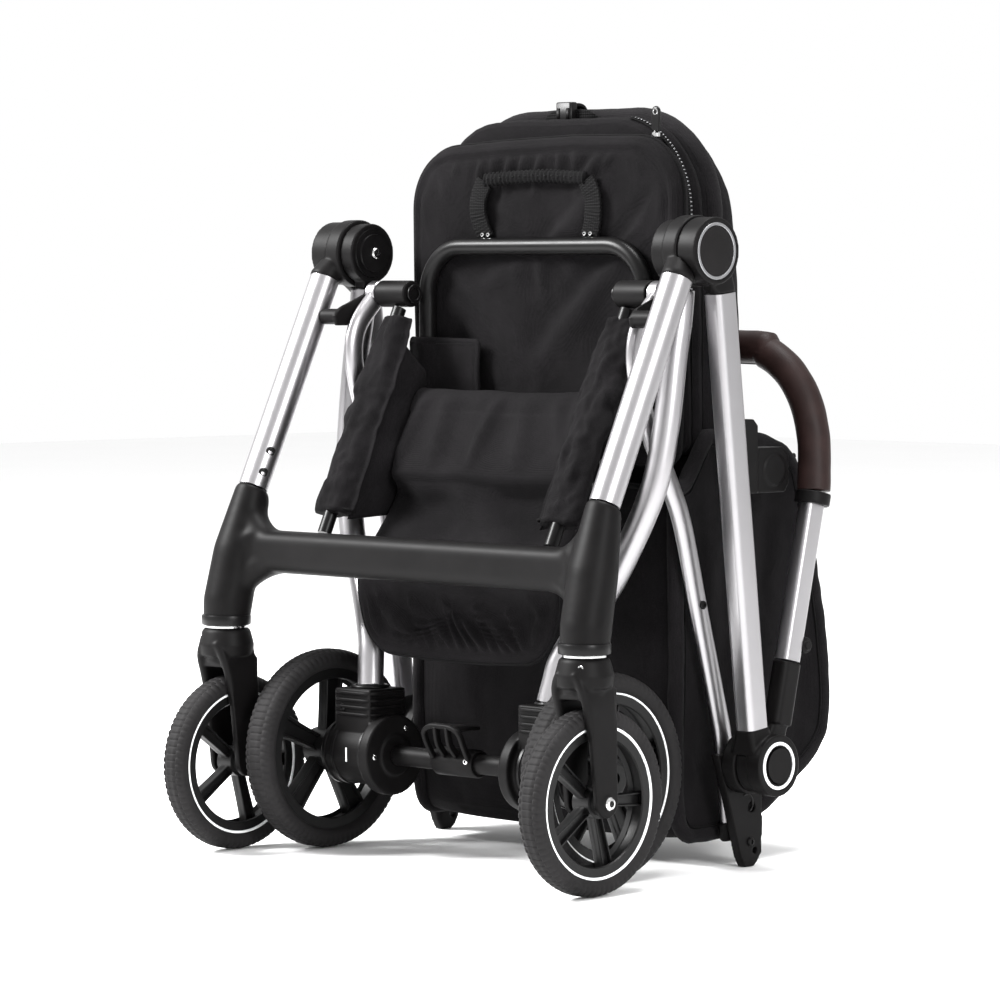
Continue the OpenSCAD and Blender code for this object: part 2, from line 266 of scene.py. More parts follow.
def turned(name, profile, centre, axis, steps=64):
    """A body of revolution; profile is (along the axis, radius) in metres, from one end to the other."""
    axis, u, v = square_to(axis)
    verts = []
    for along, radius in profile:
        for k in range(steps):
            angle = 2 * math.pi * k / steps
            verts.append(centre + along * axis + radius * (math.cos(angle) * u + math.sin(angle) * v))
    faces = band_faces(len(profile), steps) + end_faces(len(profile), steps)
    return sharp_edges(mesh_object(name, verts, faces))


def moulded(node, name, voxel=0.0016, soften=4, extra=()):
    """A CAD node, with any extra pieces, as one moulded form with soft edges."""
    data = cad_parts[node].data.copy()
    data.materials.clear()
    piece = linked(name, data)
    if extra:
        piece = joined(name, [piece, *extra])
    modify(piece, "REMESH", mode="VOXEL", voxel_size=voxel)
    modify(piece, "CORRECTIVE_SMOOTH", iterations=soften, use_only_smooth=True, smooth_type="LENGTH_WEIGHTED")
    return applied(piece)


def displaced(piece, offset):
    """Moves each vertex along its normal by offset(place), in metres."""
    data = piece.data
    moves = [offset(v.co, v.normal) for v in data.vertices]
    for vertex, move in zip(data.vertices, moves):
        vertex.co += vertex.normal * move
    data.update()
    return piece


# ---------------------------------------------------------------- materials


def node_material(name):
    material = bpy.data.materials.new(name)
    material.use_nodes = True
    tree = material.node_tree
    shader = tree.nodes["Principled BSDF"]
    place = tree.nodes.new("ShaderNodeTexCoord")
    return material, tree, shader, place.outputs["Object"]


def noise_node(tree, place, scale, detail=4.0, roughness=0.6, stretch=None):
    source = place
    if stretch:
        mapping = tree.nodes.new("ShaderNodeMapping")
        mapping.inputs["Scale"].default_value = stretch
        tree.links.new(place, mapping.inputs["Vector"])
        source = mapping.outputs["Vector"]
    texture = tree.nodes.new("ShaderNodeTexNoise")
    texture.inputs["Scale"].default_value = scale
    texture.inputs["Detail"].default_value = detail
    texture.inputs["Roughness"].default_value = roughness
    tree.links.new(source, texture.inputs["Vector"])
    return texture.outputs["Fac"]


def wave_node(tree, place, scale, direction, distortion=0.0):
    texture = tree.nodes.new("ShaderNodeTexWave")
    texture.bands_direction = direction
    texture.inputs["Scale"].default_value = scale
    texture.inputs["Distortion"].default_value = distortion
    tree.links.new(place, texture.inputs["Vector"])
    return texture.outputs["Fac"]


def ramp(tree, factor, low, high, start=0.0, end=1.0):
    node = tree.nodes.new("ShaderNodeValToRGB")
    node.color_ramp.elements[0].color = (*low, 1)
    node.color_ramp.elements[1].color = (*high, 1)
    node.color_ramp.elements[0].position = start
    node.color_ramp.elements[1].position = end
    tree.links.new(factor, node.inputs["Fac"])
    return node.outputs["Color"]


def remap(tree, factor, low, high):
    node = tree.nodes.new("ShaderNodeMapRange")
    node.inputs["To Min"].default_value = low
    node.inputs["To Max"].default_value = high
    tree.links.new(factor, node.inputs["Value"])
    return node.outputs["Result"]


def mixed(tree, a, b, operation="MULTIPLY"):
    node = tree.nodes.new("ShaderNodeMath")
    node.operation = operation
    tree.links.new(a, node.inputs[0])
    tree.links.new(b, node.inputs[1])
    return node.outputs["Value"]


def bump(tree, shader, height, strength, distance):
    node = tree.nodes.new("ShaderNodeBump")
    node.inputs["Strength"].default_value = strength
    node.inputs["Distance"].default_value = distance
    tree.links.new(height, node.inputs["Height"])
    tree.links.new(node.outputs["Normal"], shader.inputs["Normal"])


def fabric_material(name, dark, light, pitch=0.9, sheen=0.04, rough=0.85):
    """Woven polyester: crossed yarns at the pitch in millimetres, with faded and darker areas."""
    material, tree, shader, place = node_material(name)
    bands = 2 * math.pi / 20 / (pitch * MM)
    weave = mixed(
        tree, wave_node(tree, place, bands, "X", 0.4), wave_node(tree, place, bands, "Z", 0.4), "ADD"
    )
    weave = mixed(tree, weave, wave_node(tree, place, bands, "Y", 0.4), "ADD")
    slub = noise_node(tree, place, 900, 3)
    cloud = noise_node(tree, place, 14, 5)
    tone = mixed(tree, remap(tree, cloud, 0.0, 0.45), remap(tree, slub, 0.0, 0.8), "ADD")
    tree.links.new(ramp(tree, tone, dark, light, 0.45, 0.8), shader.inputs["Base Color"])
    tree.links.new(remap(tree, slub, rough - 0.1, rough + 0.08), shader.inputs["Roughness"])
    bump(tree, shader, mixed(tree, weave, slub, "ADD"), 0.5, 0.00045)
    shader.inputs["Sheen Weight"].default_value = sheen
    shader.inputs["Sheen Roughness"].default_value = 0.45
    shader.inputs["Specular IOR Level"].default_value = 0.06
    return material


def plastic_material(name, colour, rough=0.48, grain=1400, depth=0.00012, level=0.3):
    """Moulded plastic with a fine spark-eroded grain and worn, slightly shinier patches."""
    material, tree, shader, place = node_material(name)
    patches = noise_node(tree, place, 25, 4)
    low = tuple(c * 0.8 for c in colour)
    high = tuple(c * 1.35 + 0.001 for c in colour)
    tree.links.new(ramp(tree, patches, low, high, 0.3, 0.7), shader.inputs["Base Color"])
    tree.links.new(remap(tree, patches, rough - 0.08, rough + 0.08), shader.inputs["Roughness"])
    bump(tree, shader, noise_node(tree, place, grain, 2), 0.4, depth)
    shader.inputs["Specular IOR Level"].default_value = level
    return material


def metal_material(name, colour, rough=0.3):
    """Bare or anodised metal: fine drawn lines along the tube and soft clouding."""
    material, tree, shader, place = node_material(name)
    lines = noise_node(tree, place, 500, 3, stretch=(1, 1, 0.03))
    cloud = noise_node(tree, place, 9, 3)
    low = tuple(c * 0.93 for c in colour)
    tree.links.new(ramp(tree, cloud, low, colour, 0.35, 0.65), shader.inputs["Base Color"])
    tree.links.new(remap(tree, lines, rough - 0.05, rough + 0.08), shader.inputs["Roughness"])
    bump(tree, shader, lines, 0.12, 0.00008)
    shader.inputs["Metallic"].default_value = 1.0
    return material


def leather_material(name, dark, light):
    """Leather-look cover: pebbled grain with darker pores and a soft shine."""
    material, tree, shader, place = node_material(name)
    cells = tree.nodes.new("ShaderNodeTexVoronoi")
    cells.inputs["Scale"].default_value = 650
    cells.feature = "DISTANCE_TO_EDGE"
    tree.links.new(place, cells.inputs["Vector"])
    cloud = noise_node(tree, place, 40, 5)
    tree.links.new(ramp(tree, cloud, dark, light, 0.3, 0.7), shader.inputs["Base Color"])
    tree.links.new(remap(tree, cloud, 0.42, 0.6), shader.inputs["Roughness"])
    bump(tree, shader, cells.outputs["Distance"], 0.5, 0.0003)
    shader.inputs["Specular IOR Level"].default_value = 0.14
    return material


FABRIC = fabric_material("fabric_black", (0.0015, 0.0013, 0.0015), (0.0078, 0.007, 0.0078), sheen=0.008)
FABRIC_SOFT = fabric_material("fabric_lining", (0.003, 0.0027, 0.003), (0.01, 0.0091, 0.01), pitch=1.2,
                              sheen=0.02)
BINDING = fabric_material("fabric_binding", (0.0018, 0.0017, 0.0018), (0.0055, 0.0052, 0.0056), pitch=1.6,
                          sheen=0.01)
THREAD = fabric_material("thread_grey", (0.005, 0.005, 0.0052), (0.012, 0.012, 0.0124), pitch=0.5)
WEBBING = fabric_material("webbing", (0.0016, 0.0015, 0.0016), (0.0058, 0.0055, 0.0058), pitch=2.6,
                          sheen=0.02, rough=0.7)
PLASTIC = plastic_material("plastic_black", (0.0022, 0.0019, 0.002), rough=0.5, level=0.09)
PLASTIC_SATIN = plastic_material("plastic_satin", (0.002, 0.0018, 0.0019), rough=0.34, depth=0.00006,
                                 level=0.16)
RIM = plastic_material("rim_plastic", (0.003, 0.0029, 0.003), rough=0.4, level=0.2)
RUBBER = plastic_material("tyre_rubber", (0.0085, 0.0079, 0.0082), rough=0.7, grain=900, depth=0.0002,
                          level=0.15)
SILVER = metal_material("silver_anodised", (0.36, 0.352, 0.362), rough=0.33)
CHROME = metal_material("steel_bright", (0.62, 0.62, 0.62), rough=0.14)
PAINTED = plastic_material("painted_black", (0.0024, 0.0022, 0.0023), rough=0.34, grain=700, depth=0.00003,
                           level=0.14)
WHITE = plastic_material("ring_white", (0.78, 0.79, 0.8), rough=0.3)
SILVER_GREY = metal_material("ring_grey", (0.3, 0.3, 0.31), rough=0.35)
GRAINED = plastic_material("disc_grained", (0.0042, 0.0036, 0.0038), rough=0.65, grain=2600, depth=0.0004,
                           level=0.12)
BROWN = leather_material("leather_brown", (0.0095, 0.0046, 0.0041), (0.0185, 0.0096, 0.0088))


def finished(piece, body, material, replaces=()):
    """Gives a piece its material and its body, and hides the CAD nodes that it stands for."""
    if material is not None:
        piece.data.materials.clear()
        piece.data.materials.append(material)
    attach(piece, body)
    if replaces:
        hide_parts(*replaces)
    return piece


# ---------------------------------------------------------------- camera, lights and floor

CAMERA_AZIMUTH, CAMERA_ELEVATION = math.radians(44.4), math.radians(2.88)
CAMERA_DISTANCE, CAMERA_LENS = 4.2325, 155.14
AIM = at(0, 4, 354)


def make_camera():
    back = Vector(
        (
            math.sin(CAMERA_AZIMUTH) * math.cos(CAMERA_ELEVATION),
            -math.cos(CAMERA_AZIMUTH) * math.cos(CAMERA_ELEVATION),
            math.sin(CAMERA_ELEVATION),
        )
    )
    data = bpy.data.cameras.new("camera")
    data.lens, data.sensor_width = CAMERA_LENS, 36
    data.clip_end = 50
    camera = linked("camera", data)
    camera.location = AIM + back * CAMERA_DISTANCE
    camera.rotation_mode = "QUATERNION"
    camera.rotation_quaternion = (-back).to_track_quat("-Z", "Y")
    bpy.context.scene.camera = camera


def area_light(name, place, target, size, power):
    data = bpy.data.lights.new(name, "AREA")
    data.shape, data.size, data.energy = "SQUARE", size, power
    light = linked(name, data)
    light.location = place
    light.rotation_mode = "QUATERNION"
    light.rotation_quaternion = (Vector(target) - Vector(place)).to_track_quat("-Z", "Y")


def make_studio():
    world = bpy.data.worlds.new("studio")
    world.use_nodes = True
    world.node_tree.nodes["Background"].inputs["Color"].default_value = (1, 1, 1, 1)
    world.node_tree.nodes["Background"].inputs["Strength"].default_value = 1.0
    bpy.context.scene.world = world
    bpy.context.scene.view_settings.view_transform = "Standard"
    area_light("key", (-2.3, -2.2, 2.7), (0, 0, 0.35), 1.3, 460)
    area_light("side", (3.3, -0.9, 1.6), (0, 0, 0.35), 0.9, 90)
    area_light("top", (0.4, 0.3, 3.4), (0, 0, 0.3), 1.2, 120)
    corners = [(x * FLOOR_HALF, y * FLOOR_HALF, -FLOOR_DROP) for x, y in ((-1, -1), (1, -1), (1, 1), (-1, 1))]
    floor = mesh_object("floor", corners, [(0, 1, 2, 3)])
    material, tree, shader, place = node_material("floor_pale")
    tree.links.new(
        ramp(tree, noise_node(tree, place, 2.0), (0.9, 0.9, 0.9), (0.93, 0.93, 0.93)),
        shader.inputs["Base Color"]
    )
    shader.inputs["Roughness"].default_value = 0.9
    floor.data.materials.append(material)


make_camera()
make_studio()


# ---------------------------------------------------------------- tubes


def make_tubes():
    leg_top, leg_low = at(241, -5, 570.5), at(241, -104, 362)
    link_top, link_low = at(242, 55, 557), at(242, 103.5, 139)
    handle_low, handle_top = at(240, 157.2, 201.2), at(240, 192.9, 352)
    rear = [(217.5, 27.5, 560), (217.5, 24, 530), (217.5, 17, 495), (216, 8, 430), (209, -2, 371),
            (185, -18, 304),
            (164, -26, 266), (145, -37, 235), (131, -46, 206), (127, -50, 186), (123.3, -53.8, 166)]
    fold = [(193, 19, 550), (193, -4, 524), (193, -10, 495), (193, -2, 456), (193, 14, 418), (193, 37, 377),
            (193, 57, 335), (193, 79, 257), (193, 106, 163), (193, 117, 118), (193, 128, 27)]
    straight = {
        "front_leg": ("front_frame", leg_low, leg_top, round_section(0.015, 0.015, 56)),
        "frame_link": ("upper_frame", link_low, link_top, box_section(0.022, 0.028, 0.0065)),
        "handle_tube": ("handlebar", handle_low, handle_top, box_section(0.018, 0.024, 0.0055)),
    }
    for part, (body, low, high, section) in straight.items():
        path = [low.lerp(high, k / 12) for k in range(13)]
        right = sweep(f"{part}_right_tube", path, section)
        sharp_edges(right, 50)
        for side, sign in SIDES:
            piece = right if sign > 0 else mirrored(right, f"{part}_left_tube")
            finished(piece, body, SILVER, [f"{part}_{side}"])
    bent = {
        "rear_leg": ("rear_frame", rear, round_section(0.013, 0.013, 40)),
        "fold_link": ("fold_links", fold, round_section(0.007, 0.011, 36)),
    }
    for part, (body, points, section) in bent.items():
        path = smooth_path([at(*p) for p in points], 8)
        right = sweep(f"{part}_right_tube", path, section)
        if part == "fold_link":
            eye = turned("eye",
                         [(-0.006, 0.0061), (-0.006, 0.012), (-0.005, 0.013), (0.005, 0.013), (0.006, 0.012),
                                 (0.006, 0.0061)], at(193, *SEAT_PIVOT), (1, 0, 0))
            right = joined(f"{part}_right_tube", [right, eye])
        for side, sign in SIDES:
            piece = right if sign > 0 else mirrored(right, f"{part}_left_tube")
            finished(piece, body, SILVER, [f"{part}_{side}"])


make_tubes()


# ---------------------------------------------------------------- fastenings, rings and moulded parts


def ring(name, loop, centre, axis, steps=96):
    """A ring: a closed (along the axis, radius) loop, in metres, turned about the axis."""
    axis, u, v = square_to(axis)
    verts = []
    for k in range(steps):
        angle = 2 * math.pi * k / steps
        out = math.cos(angle) * u + math.sin(angle) * v
        verts += [centre + along * axis + radius * out for along, radius in loop]
    return sharp_edges(mesh_object(name, verts, band_faces(steps, len(loop), True)))


def flat_ring(name, centre, axis, inner, outer, thick):
    edge = min(thick, outer - inner) * 0.3
    loop = [(0, inner), (thick - edge, inner), (thick, inner + edge), (thick, outer - edge),
            (thick - edge, outer),
            (0, outer)]
    return ring(name, loop, centre, axis)


def painted(piece, material):
    piece.data.materials.clear()
    piece.data.materials.append(material)
    return piece


def bolt(place, axis, radius, material=None):
    """Domed head with a hexagon socket, standing on place and facing along axis."""
    r = radius
    head = painted(
        ring("head", [(0, r * 0.45), (0, r), (r * 0.25, r), (r * 0.48, r * 0.8), (r * 0.52, r * 0.5),
                      (r * 0.3, r * 0.46)],
             place, axis, 32),
        material or CHROME,
    )
    socket = painted(turned("socket", [(0, r * 0.5), (r * 0.22, r * 0.5)], place, axis, 6), PAINTED)
    return joined("bolt", [head, socket])


def moulded_pair(part, bodies, voxel, soften=3, details=None, extra=None):
    """Both sides of a moulded CAD part, softened, with details added; the left is the right mirrored."""
    more = extra() if extra else ()
    right = painted(moulded(f"{part}_right", f"{part}_right_shell", voxel * MM, soften, more), PLASTIC)
    if details:
        right = joined(f"{part}_right_shell", [right, *details()])
    for side, sign in SIDES:
        piece = right if sign > 0 else mirrored(right, f"{part}_left_shell")
        finished(piece, bodies[sign > 0], None, [f"{part}_{side}"])


def hub_details():
    return [
        painted(flat_ring("hub_ring", at(261.2, *HUB), (1, 0, 0), 24 * MM, 27 * MM, 1.4 * MM), SILVER_GREY),
        painted(turned("hub_disc", [(0, 0.0236), (0.0012, 0.0236), (0.0016, 0.022), (0.0017, 0.004)],
                       at(261, *HUB),
                       (1, 0, 0)), GRAINED),
    ]


def grip_hub_details():
    details = [painted(flat_ring("ring", at(261.3, *GRIP_HUB), (1, 0, 0), 20 * MM, 23 * MM, 1.5 * MM), WHITE)]
    details.append(painted(turned("boss", [(0, 0.022), (0.003, 0.021), (0.004, 0.016)], at(214.2, *GRIP_HUB),
                                  (-1, 0, 0)), PLASTIC))
    details.append(bolt(at(210.2, *GRIP_HUB), (-1, 0, 0), 0.0055))
    return details


def hub_core_details():
    return [bolt(at(221.8, HUB[0], HUB[1]), (-1, 0, 0), 0.006)]


def rear_hub_details():
    step = turned("cap", [(0, 0.025), (0.0018, 0.0246), (0.002, 0.0195), (0.0038, 0.019), (0.004, 0.0105)],
                  at(204.6, *HUB), (-1, 0, 0))
    return [painted(step, PLASTIC_SATIN), bolt(at(200.7, *HUB), (-1, 0, 0), 0.0055)]


def bracket_details():
    cap = at(140, *SEAT_PIVOT)
    return [bolt(at(204.2, SEAT_PIVOT[0], SEAT_PIVOT[1]), (1, 0, 0), 0.0045),
            painted(flat_ring("bracket_ring", cap, (-1, 0, 0), 0.006, 0.0095, 0.0012), PLASTIC_SATIN)]


def plate_details():
    half_moon = sweep("moon", [at(213.4, 128 + 9 * math.cos(a), 62 + 9 * math.sin(a)) for a in
                               [math.radians(-60 + 12 * k) for k in range(16)]],
                               round_section(0.0012, 0.0012, 8))
    return [painted(half_moon, PLASTIC_SATIN), bolt(at(213.6, 134, 24), (1, 0, 0), 0.0045, PAINTED)]


def housing_details():
    """Brake drum marks: a painted tick, raised lands, ribs round the leg's socket and screws."""
    tick = sweep("tick", [at(127, AXLE[0] - 32.2, AXLE[1] - 7), at(127, AXLE[0] - 32.2, AXLE[1] + 7)],
                 box_section(0.0016, 0.0008, 0.0002))
    details = [painted(tick, WHITE), bolt(at(140, AXLE[0] - 24.4, 146), (0, -1, 0), 0.0036, PAINTED),
               bolt(at(89.8, AXLE[0] - 29, AXLE[1]), (-1, 0, 0), 0.003),
               bolt(at(89.8, AXLE[0] + 14, 126), (-1, 0, 0), 0.003)]
    for x in (108, 146, 158):
        land = ring("land", [(0, 0.0315), (0.0006, 0.0331), (0.0034, 0.0331), (0.004, 0.0315)], at(x, *AXLE),
                    (1, 0, 0))
        details.append(painted(land, PLASTIC_SATIN))
    socket = box_section(0.053, 0.052, 0.01)
    for z in (140, 147, 154, 161):
        path = [at(127 + a / MM, AXLE[0] + 0.5 + b / MM, z) for a, b in resampled(socket, 0.004, closed=True)]
        details.append(painted(sweep("rib", path, round_section(0.0016, 0.0013, 10), AXIS_Z, closed=True),
                               PLASTIC))
    mouth = [at(127 + a / MM, AXLE[0] + 0.5 + b / MM, 166) for a, b in
             resampled(box_section(0.034, 0.034, 0.0165), 0.003, closed=True)]
    details.append(painted(sweep("mouth", mouth, round_section(0.0022, 0.0022, 12), AXIS_Z, closed=True),
                           PLASTIC_SATIN))
    return details


def fork_crown():
    """Cup round the stem and shoulders that flow into the fork's legs."""
    cup = turned("cup", [(0.192, 0.020), (0.196, 0.0265), (0.206, 0.0278), (0.215, 0.0255), (0.2205, 0.0240),
                         (0.2222, 0.0215)], at(*STEM, 0), (0, 0, 1), 48)
    pieces = [cup]
    for x, toward in ((227, 228), (263, 262)):
        shoulder = smooth_path([at(246 + (x - 246) * 0.5, -138, 207), at(246 + (x - 246) * 0.9, -138, 197),
                                at(x, -135, 181), at(toward, -130, 150)], 6)
        pieces.append(sweep("shoulder", shoulder, box_section(0.0095, 0.05, 0.0045),
                            scale=lambda t: (1, 1 - 0.32 * t)))
    return pieces


def fork_details():
    return [bolt(at(268.2, *FRONT_AXLE), (1, 0, 0), 0.0062),
            bolt(at(259.5, -155.5, 214), (0.5, -0.8, 0), 0.0034)]


def make_moulded_parts():
    frame_pair, upper = ("front_frame", "front_frame"), ("upper_frame", "upper_frame")
    rear, handle = ("rear_frame", "rear_frame"), ("handlebar", "handlebar")
    moulded_pair("hub_core", frame_pair, 1.4, details=hub_core_details)
    moulded_pair("seat_bracket", frame_pair, 1.2, details=bracket_details)
    moulded_pair("hub_shell", upper, 1.2, details=hub_details)
    moulded_pair("handle_hub", upper, 1.2, details=grip_hub_details)
    moulded_pair("foot_plate", upper, 1.2, details=plate_details)
    moulded_pair("rear_hub", rear, 1.3, details=rear_hub_details)
    moulded_pair("rear_housing", rear, 1.4, details=housing_details)
    moulded_pair("handle_yoke", handle, 1.3)
    moulded_pair("front_fork", ("caster_left", "caster_right"), 1.2, 6, details=fork_details,
                 extra=fork_crown)
    single = {
        "fold_catches": ("upper_frame", 1.2),
        "rear_axle": ("rear_frame", 1.4),
        "handle_collars": ("handlebar", 1.2),
        "handle_knobs": ("handlebar", 1.0),
    }
    for part, (body, voxel) in single.items():
        finished(moulded(part, f"{part}_form", voxel * MM, 3), body, PLASTIC, [part])


def make_footrest():
    """The two elbows and the bar between them read as one moulding with filleted joins."""
    pieces = []
    for part in ("leg_elbow_left", "leg_elbow_right", "footrest_bar"):
        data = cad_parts[part].data.copy()
        data.materials.clear()
        piece = linked(part, data)
        pieces.append(piece)
    upper_fillet = ((240, -104, 352), (236, -110, 336), (225, -113, 322), (207, -113.5, 311),
                    (176, -113, 303))
    lower_fillet = ((246, -131, 256), (238, -127, 268), (224, -121, 280), (204, -116, 289), (176, -113, 294))
    for _, sign in SIDES:
        for places, wide, deep in ((upper_fillet, 16, 17), (lower_fillet, 18, 16)):
            path = smooth_path([at(x * sign, y, z) for x, y, z in places], 5)
            pieces.append(sweep("fillet", path, round_section(deep * MM, wide * MM, 28), AXIS_Y,
                                scale=lambda t: (1 - 0.12 * t, 1 - 0.25 * t)))
    form = joined("footrest_moulding", pieces)
    modify(form, "REMESH", mode="VOXEL", voxel_size=0.0021)
    modify(form, "CORRECTIVE_SMOOTH", iterations=26, use_only_smooth=True, smooth_type="LENGTH_WEIGHTED")
    pieces = [painted(applied(form), PLASTIC)]
    for _, sign in SIDES:
        stem = at(STEM[0] * sign, STEM[1], 0)
        collar = [(0.2255, 0.0226), (0.2262, 0.0243), (0.2275, 0.0248), (0.2345, 0.0248), (0.2358, 0.0243),
                  (0.2364, 0.0226)]
        pieces.append(painted(ring("collar", collar, stem, (0, 0, 1), 64), PLASTIC_SATIN))
        pieces.append(painted(flat_ring("race", stem + Vector((0, 0, 0.2232)), (0, 0, 1), 0.009, 0.0206,
                                        0.0026), CHROME))
        way = (0.3, -0.9, 0)
        pieces.append(bolt(stem + Vector(way) * 0.0246 + Vector((0, 0, 0.2309)), way, 0.0022))
        for along in (210, 187):
            share = along / 230.8
            middle = at(241 * sign, -5 - 99 * share, 570.5 - 208.5 * share)
            way = Vector((-0.86 * sign, -0.46, -0.22)).normalized()
            pieces.append(bolt(middle + way * 0.015, way, 0.005, PLASTIC_SATIN))
    finished(joined("footrest_moulding", pieces), "front_frame", None,
             ["leg_elbow_left", "leg_elbow_right", "footrest_bar"])


def make_pedal():
    """Brake pedal: a collar on the axle with a rounded loop, two curved ribs and a flat tread."""
    pieces = [ring("collar",
                   [(-0.028, 0.0106), (-0.028, 0.0128), (-0.026, 0.014), (0.026, 0.014), (0.028, 0.0128),
                              (0.028, 0.0106)], at(0, *AXLE), (1, 0, 0), 48)]
    loop = smooth_path([at(x, y, z) for x, y,
                        z in ((-24, -64, 104), (-25, -72, 118), (-24, -77, 130), (-15, -78, 136),
                                                    (0, -78, 137), (15, -78, 136), (24, -77, 130),
                                                    (25, -72, 118),
                                                    (24, -64, 104))], 8)
    pieces.append(sweep("loop", loop, box_section(0.006, 0.005, 0.0018), Vector((0, 1, 0.3))))
    for x in (-9, 7):
        rib = smooth_path([at(x, -64, 108), at(x + 1, -73, 118), at(x + 2, -77, 128), at(x + 2, -78, 136)], 6)
        pieces.append(sweep("rib", rib, box_section(0.0045, 0.007, 0.0014), AXIS_X))
    pieces.append(sweep("tread", [at(-21, -60, 134), at(21, -60, 134)], box_section(0.030, 0.0035, 0.0012),
                        AXIS_Y))
    pieces.append(bolt(at(22, AXLE[0] - 14.2, 103), (0, -1, 0), 0.0028))
    finished(joined("brake_pedal_form", [painted(p, PLASTIC) if not p.data.materials else p for p in pieces]),
             "brake_pedal", None, ["brake_pedal"])


# ---------------------------------------------------------------- wheels


def tyre(name, centre, radius, width, bead, lugs):
    """Pneumatic-looking tyre: rounded section with grooves between staggered tread blocks."""
    around, across = lugs * LUG_STEPS, 44
    middle, half_high, half_wide = (radius + bead) / 2, (radius - bead) / 2, width / 2
    verts = []
    for k in range(around):
        angle = 2 * math.pi * k / around
        lug = k % LUG_STEPS
        for i in range(across):
            turn = 2 * math.pi * i / across
            c, s = math.cos(turn), math.sin(turn)
            out = middle + half_high * math.copysign(abs(c) ** 0.8, c)
            side = half_wide * math.copysign(abs(s) ** 0.8, s)
            spread = abs(side) / half_wide
            if c > 0.25:
                shoulder = spread > 0.52
                groove = abs(spread - 0.52) < 0.07 or spread < 0.06
                cut = lug in ((0, 1) if shoulder else (3,))
                if groove or cut:
                    out -= 0.0011
            elif 0 < c <= 0.25:
                side *= 1 - 0.02 * (lug < 3)
            verts.append(centre + Vector((side, out * math.sin(angle), out * math.cos(angle))))
    return sharp_edges(mesh_object(name, verts, band_faces(around, across, True)), 40)


def spoke(inner, outer, wide_in, wide_out, deep, angle, centre):
    """Channel-section spoke: a thin web with a raised rib along each edge."""
    radial = Vector((0, math.sin(angle), math.cos(angle)))
    sideways = Vector((0, math.cos(angle), -math.sin(angle)))
    pieces = []
    steps = 8
    for shift, wide, high in ((0, 1.0, 0.3), (-1, 0.16, 1.0), (1, 0.16, 1.0)):
        path, widths = [], []
        for k in range(steps + 1):
            t = k / steps
            full = wide_in + (wide_out - wide_in) * t ** 1.6
            path.append(centre + radial * (inner + (outer - inner) * t) + sideways * shift * full * 0.42)
            widths.append(full * wide)
        verts = []
        for place, w in zip(path, widths):
            for a, b in box_section(1, 1, 0.22, 3):
                verts.append(place + AXIS_X * a * deep * high + sideways * b * w)
        count = len(verts) // len(path)
        faces = band_faces(len(path), count) + end_faces(len(path), count)
        pieces.append(sharp_edges(mesh_object("rib", verts, faces)))
    return pieces


def wheel(name, centre, bead, rim_wide, hub_radius, hub_wide, bore, spoke_sizes, phase):
    inner = bead - 0.009
    half = rim_wide / 2
    loop = [(-half, inner), (-half, bead + 0.0022), (-half + 0.002, bead + 0.003),
            (-half + 0.0035, bead - 0.001),
            (half - 0.0035, bead - 0.001), (half - 0.002, bead + 0.003), (half, bead + 0.0022), (half, inner),
            (half - 0.0015, inner - 0.001), (half - 0.004, inner + 0.003), (-half + 0.004, inner + 0.003),
            (-half + 0.0015, inner - 0.001)]
    pieces = [ring("bead", loop, centre, (1, 0, 0), 120)]
    h = hub_wide / 2
    pieces.append(ring("hub", [(-h, bore), (-h, hub_radius * 0.72), (-h + 0.003, hub_radius * 0.78),
                               (-h + 0.004, hub_radius), (h - 0.004, hub_radius),
                               (h - 0.003, hub_radius * 0.78),
                               (h, hub_radius * 0.72), (h, bore)], centre, (1, 0, 0), 64))
    wide_in, wide_out, deep = spoke_sizes
    for k in range(SPOKES):
        angle = phase + 2 * math.pi * k / SPOKES
        pieces += spoke(hub_radius - 0.002, inner + 0.002, wide_in, wide_out, deep, angle, centre)
    return painted(joined(name, [painted(p, RIM) for p in pieces]), RIM)


def make_wheels():
    for side, sign in SIDES:
        front, rear = at(245 * sign, *FRONT_AXLE), at(190 * sign, *AXLE)
        white = []
        for direction in (1, -1):
            white.append(painted(flat_ring("ring", front + Vector((direction * 0.0092, 0, 0)),
                                           (direction, 0, 0),
                                           0.0694, 0.0731, 0.0019), WHITE))
        rim = wheel("rim", front, 0.070, 0.020, 0.015, 0.028, WHEEL_BORE, (0.0105, 0.0135, 0.011), 0.35)
        rim = joined(f"front_rim_{side}_form", [rim, *white])
        finished(rim, f"front_wheel_{side}", None, [f"front_rim_{side}"])
        rubber = tyre(f"front_tyre_{side}_form", front, 0.088, 0.028, 0.069, 78)
        finished(rubber, f"front_wheel_{side}", RUBBER, [f"front_tyre_{side}"])
        rim = wheel("rim", rear, 0.080, 0.022, 0.020, 0.034, WHEEL_BORE, (0.017, 0.024, 0.013), 0.1)
        white = painted(flat_ring("ring", rear + Vector((sign * 0.0102, 0, 0)), (sign, 0, 0), 0.0796, 0.0834,
                                  0.0019),
                        WHITE)
        rim = joined(f"rear_rim_{side}_form", [rim, white])
        finished(rim, f"rear_wheel_{side}", None, [f"rear_rim_{side}"])
        rubber = tyre(f"rear_tyre_{side}_form", rear, 0.100, 0.034, 0.079, 86)
        finished(rubber, f"rear_wheel_{side}", RUBBER, [f"rear_tyre_{side}"])


# ---------------------------------------------------------------- link fittings and handle grip


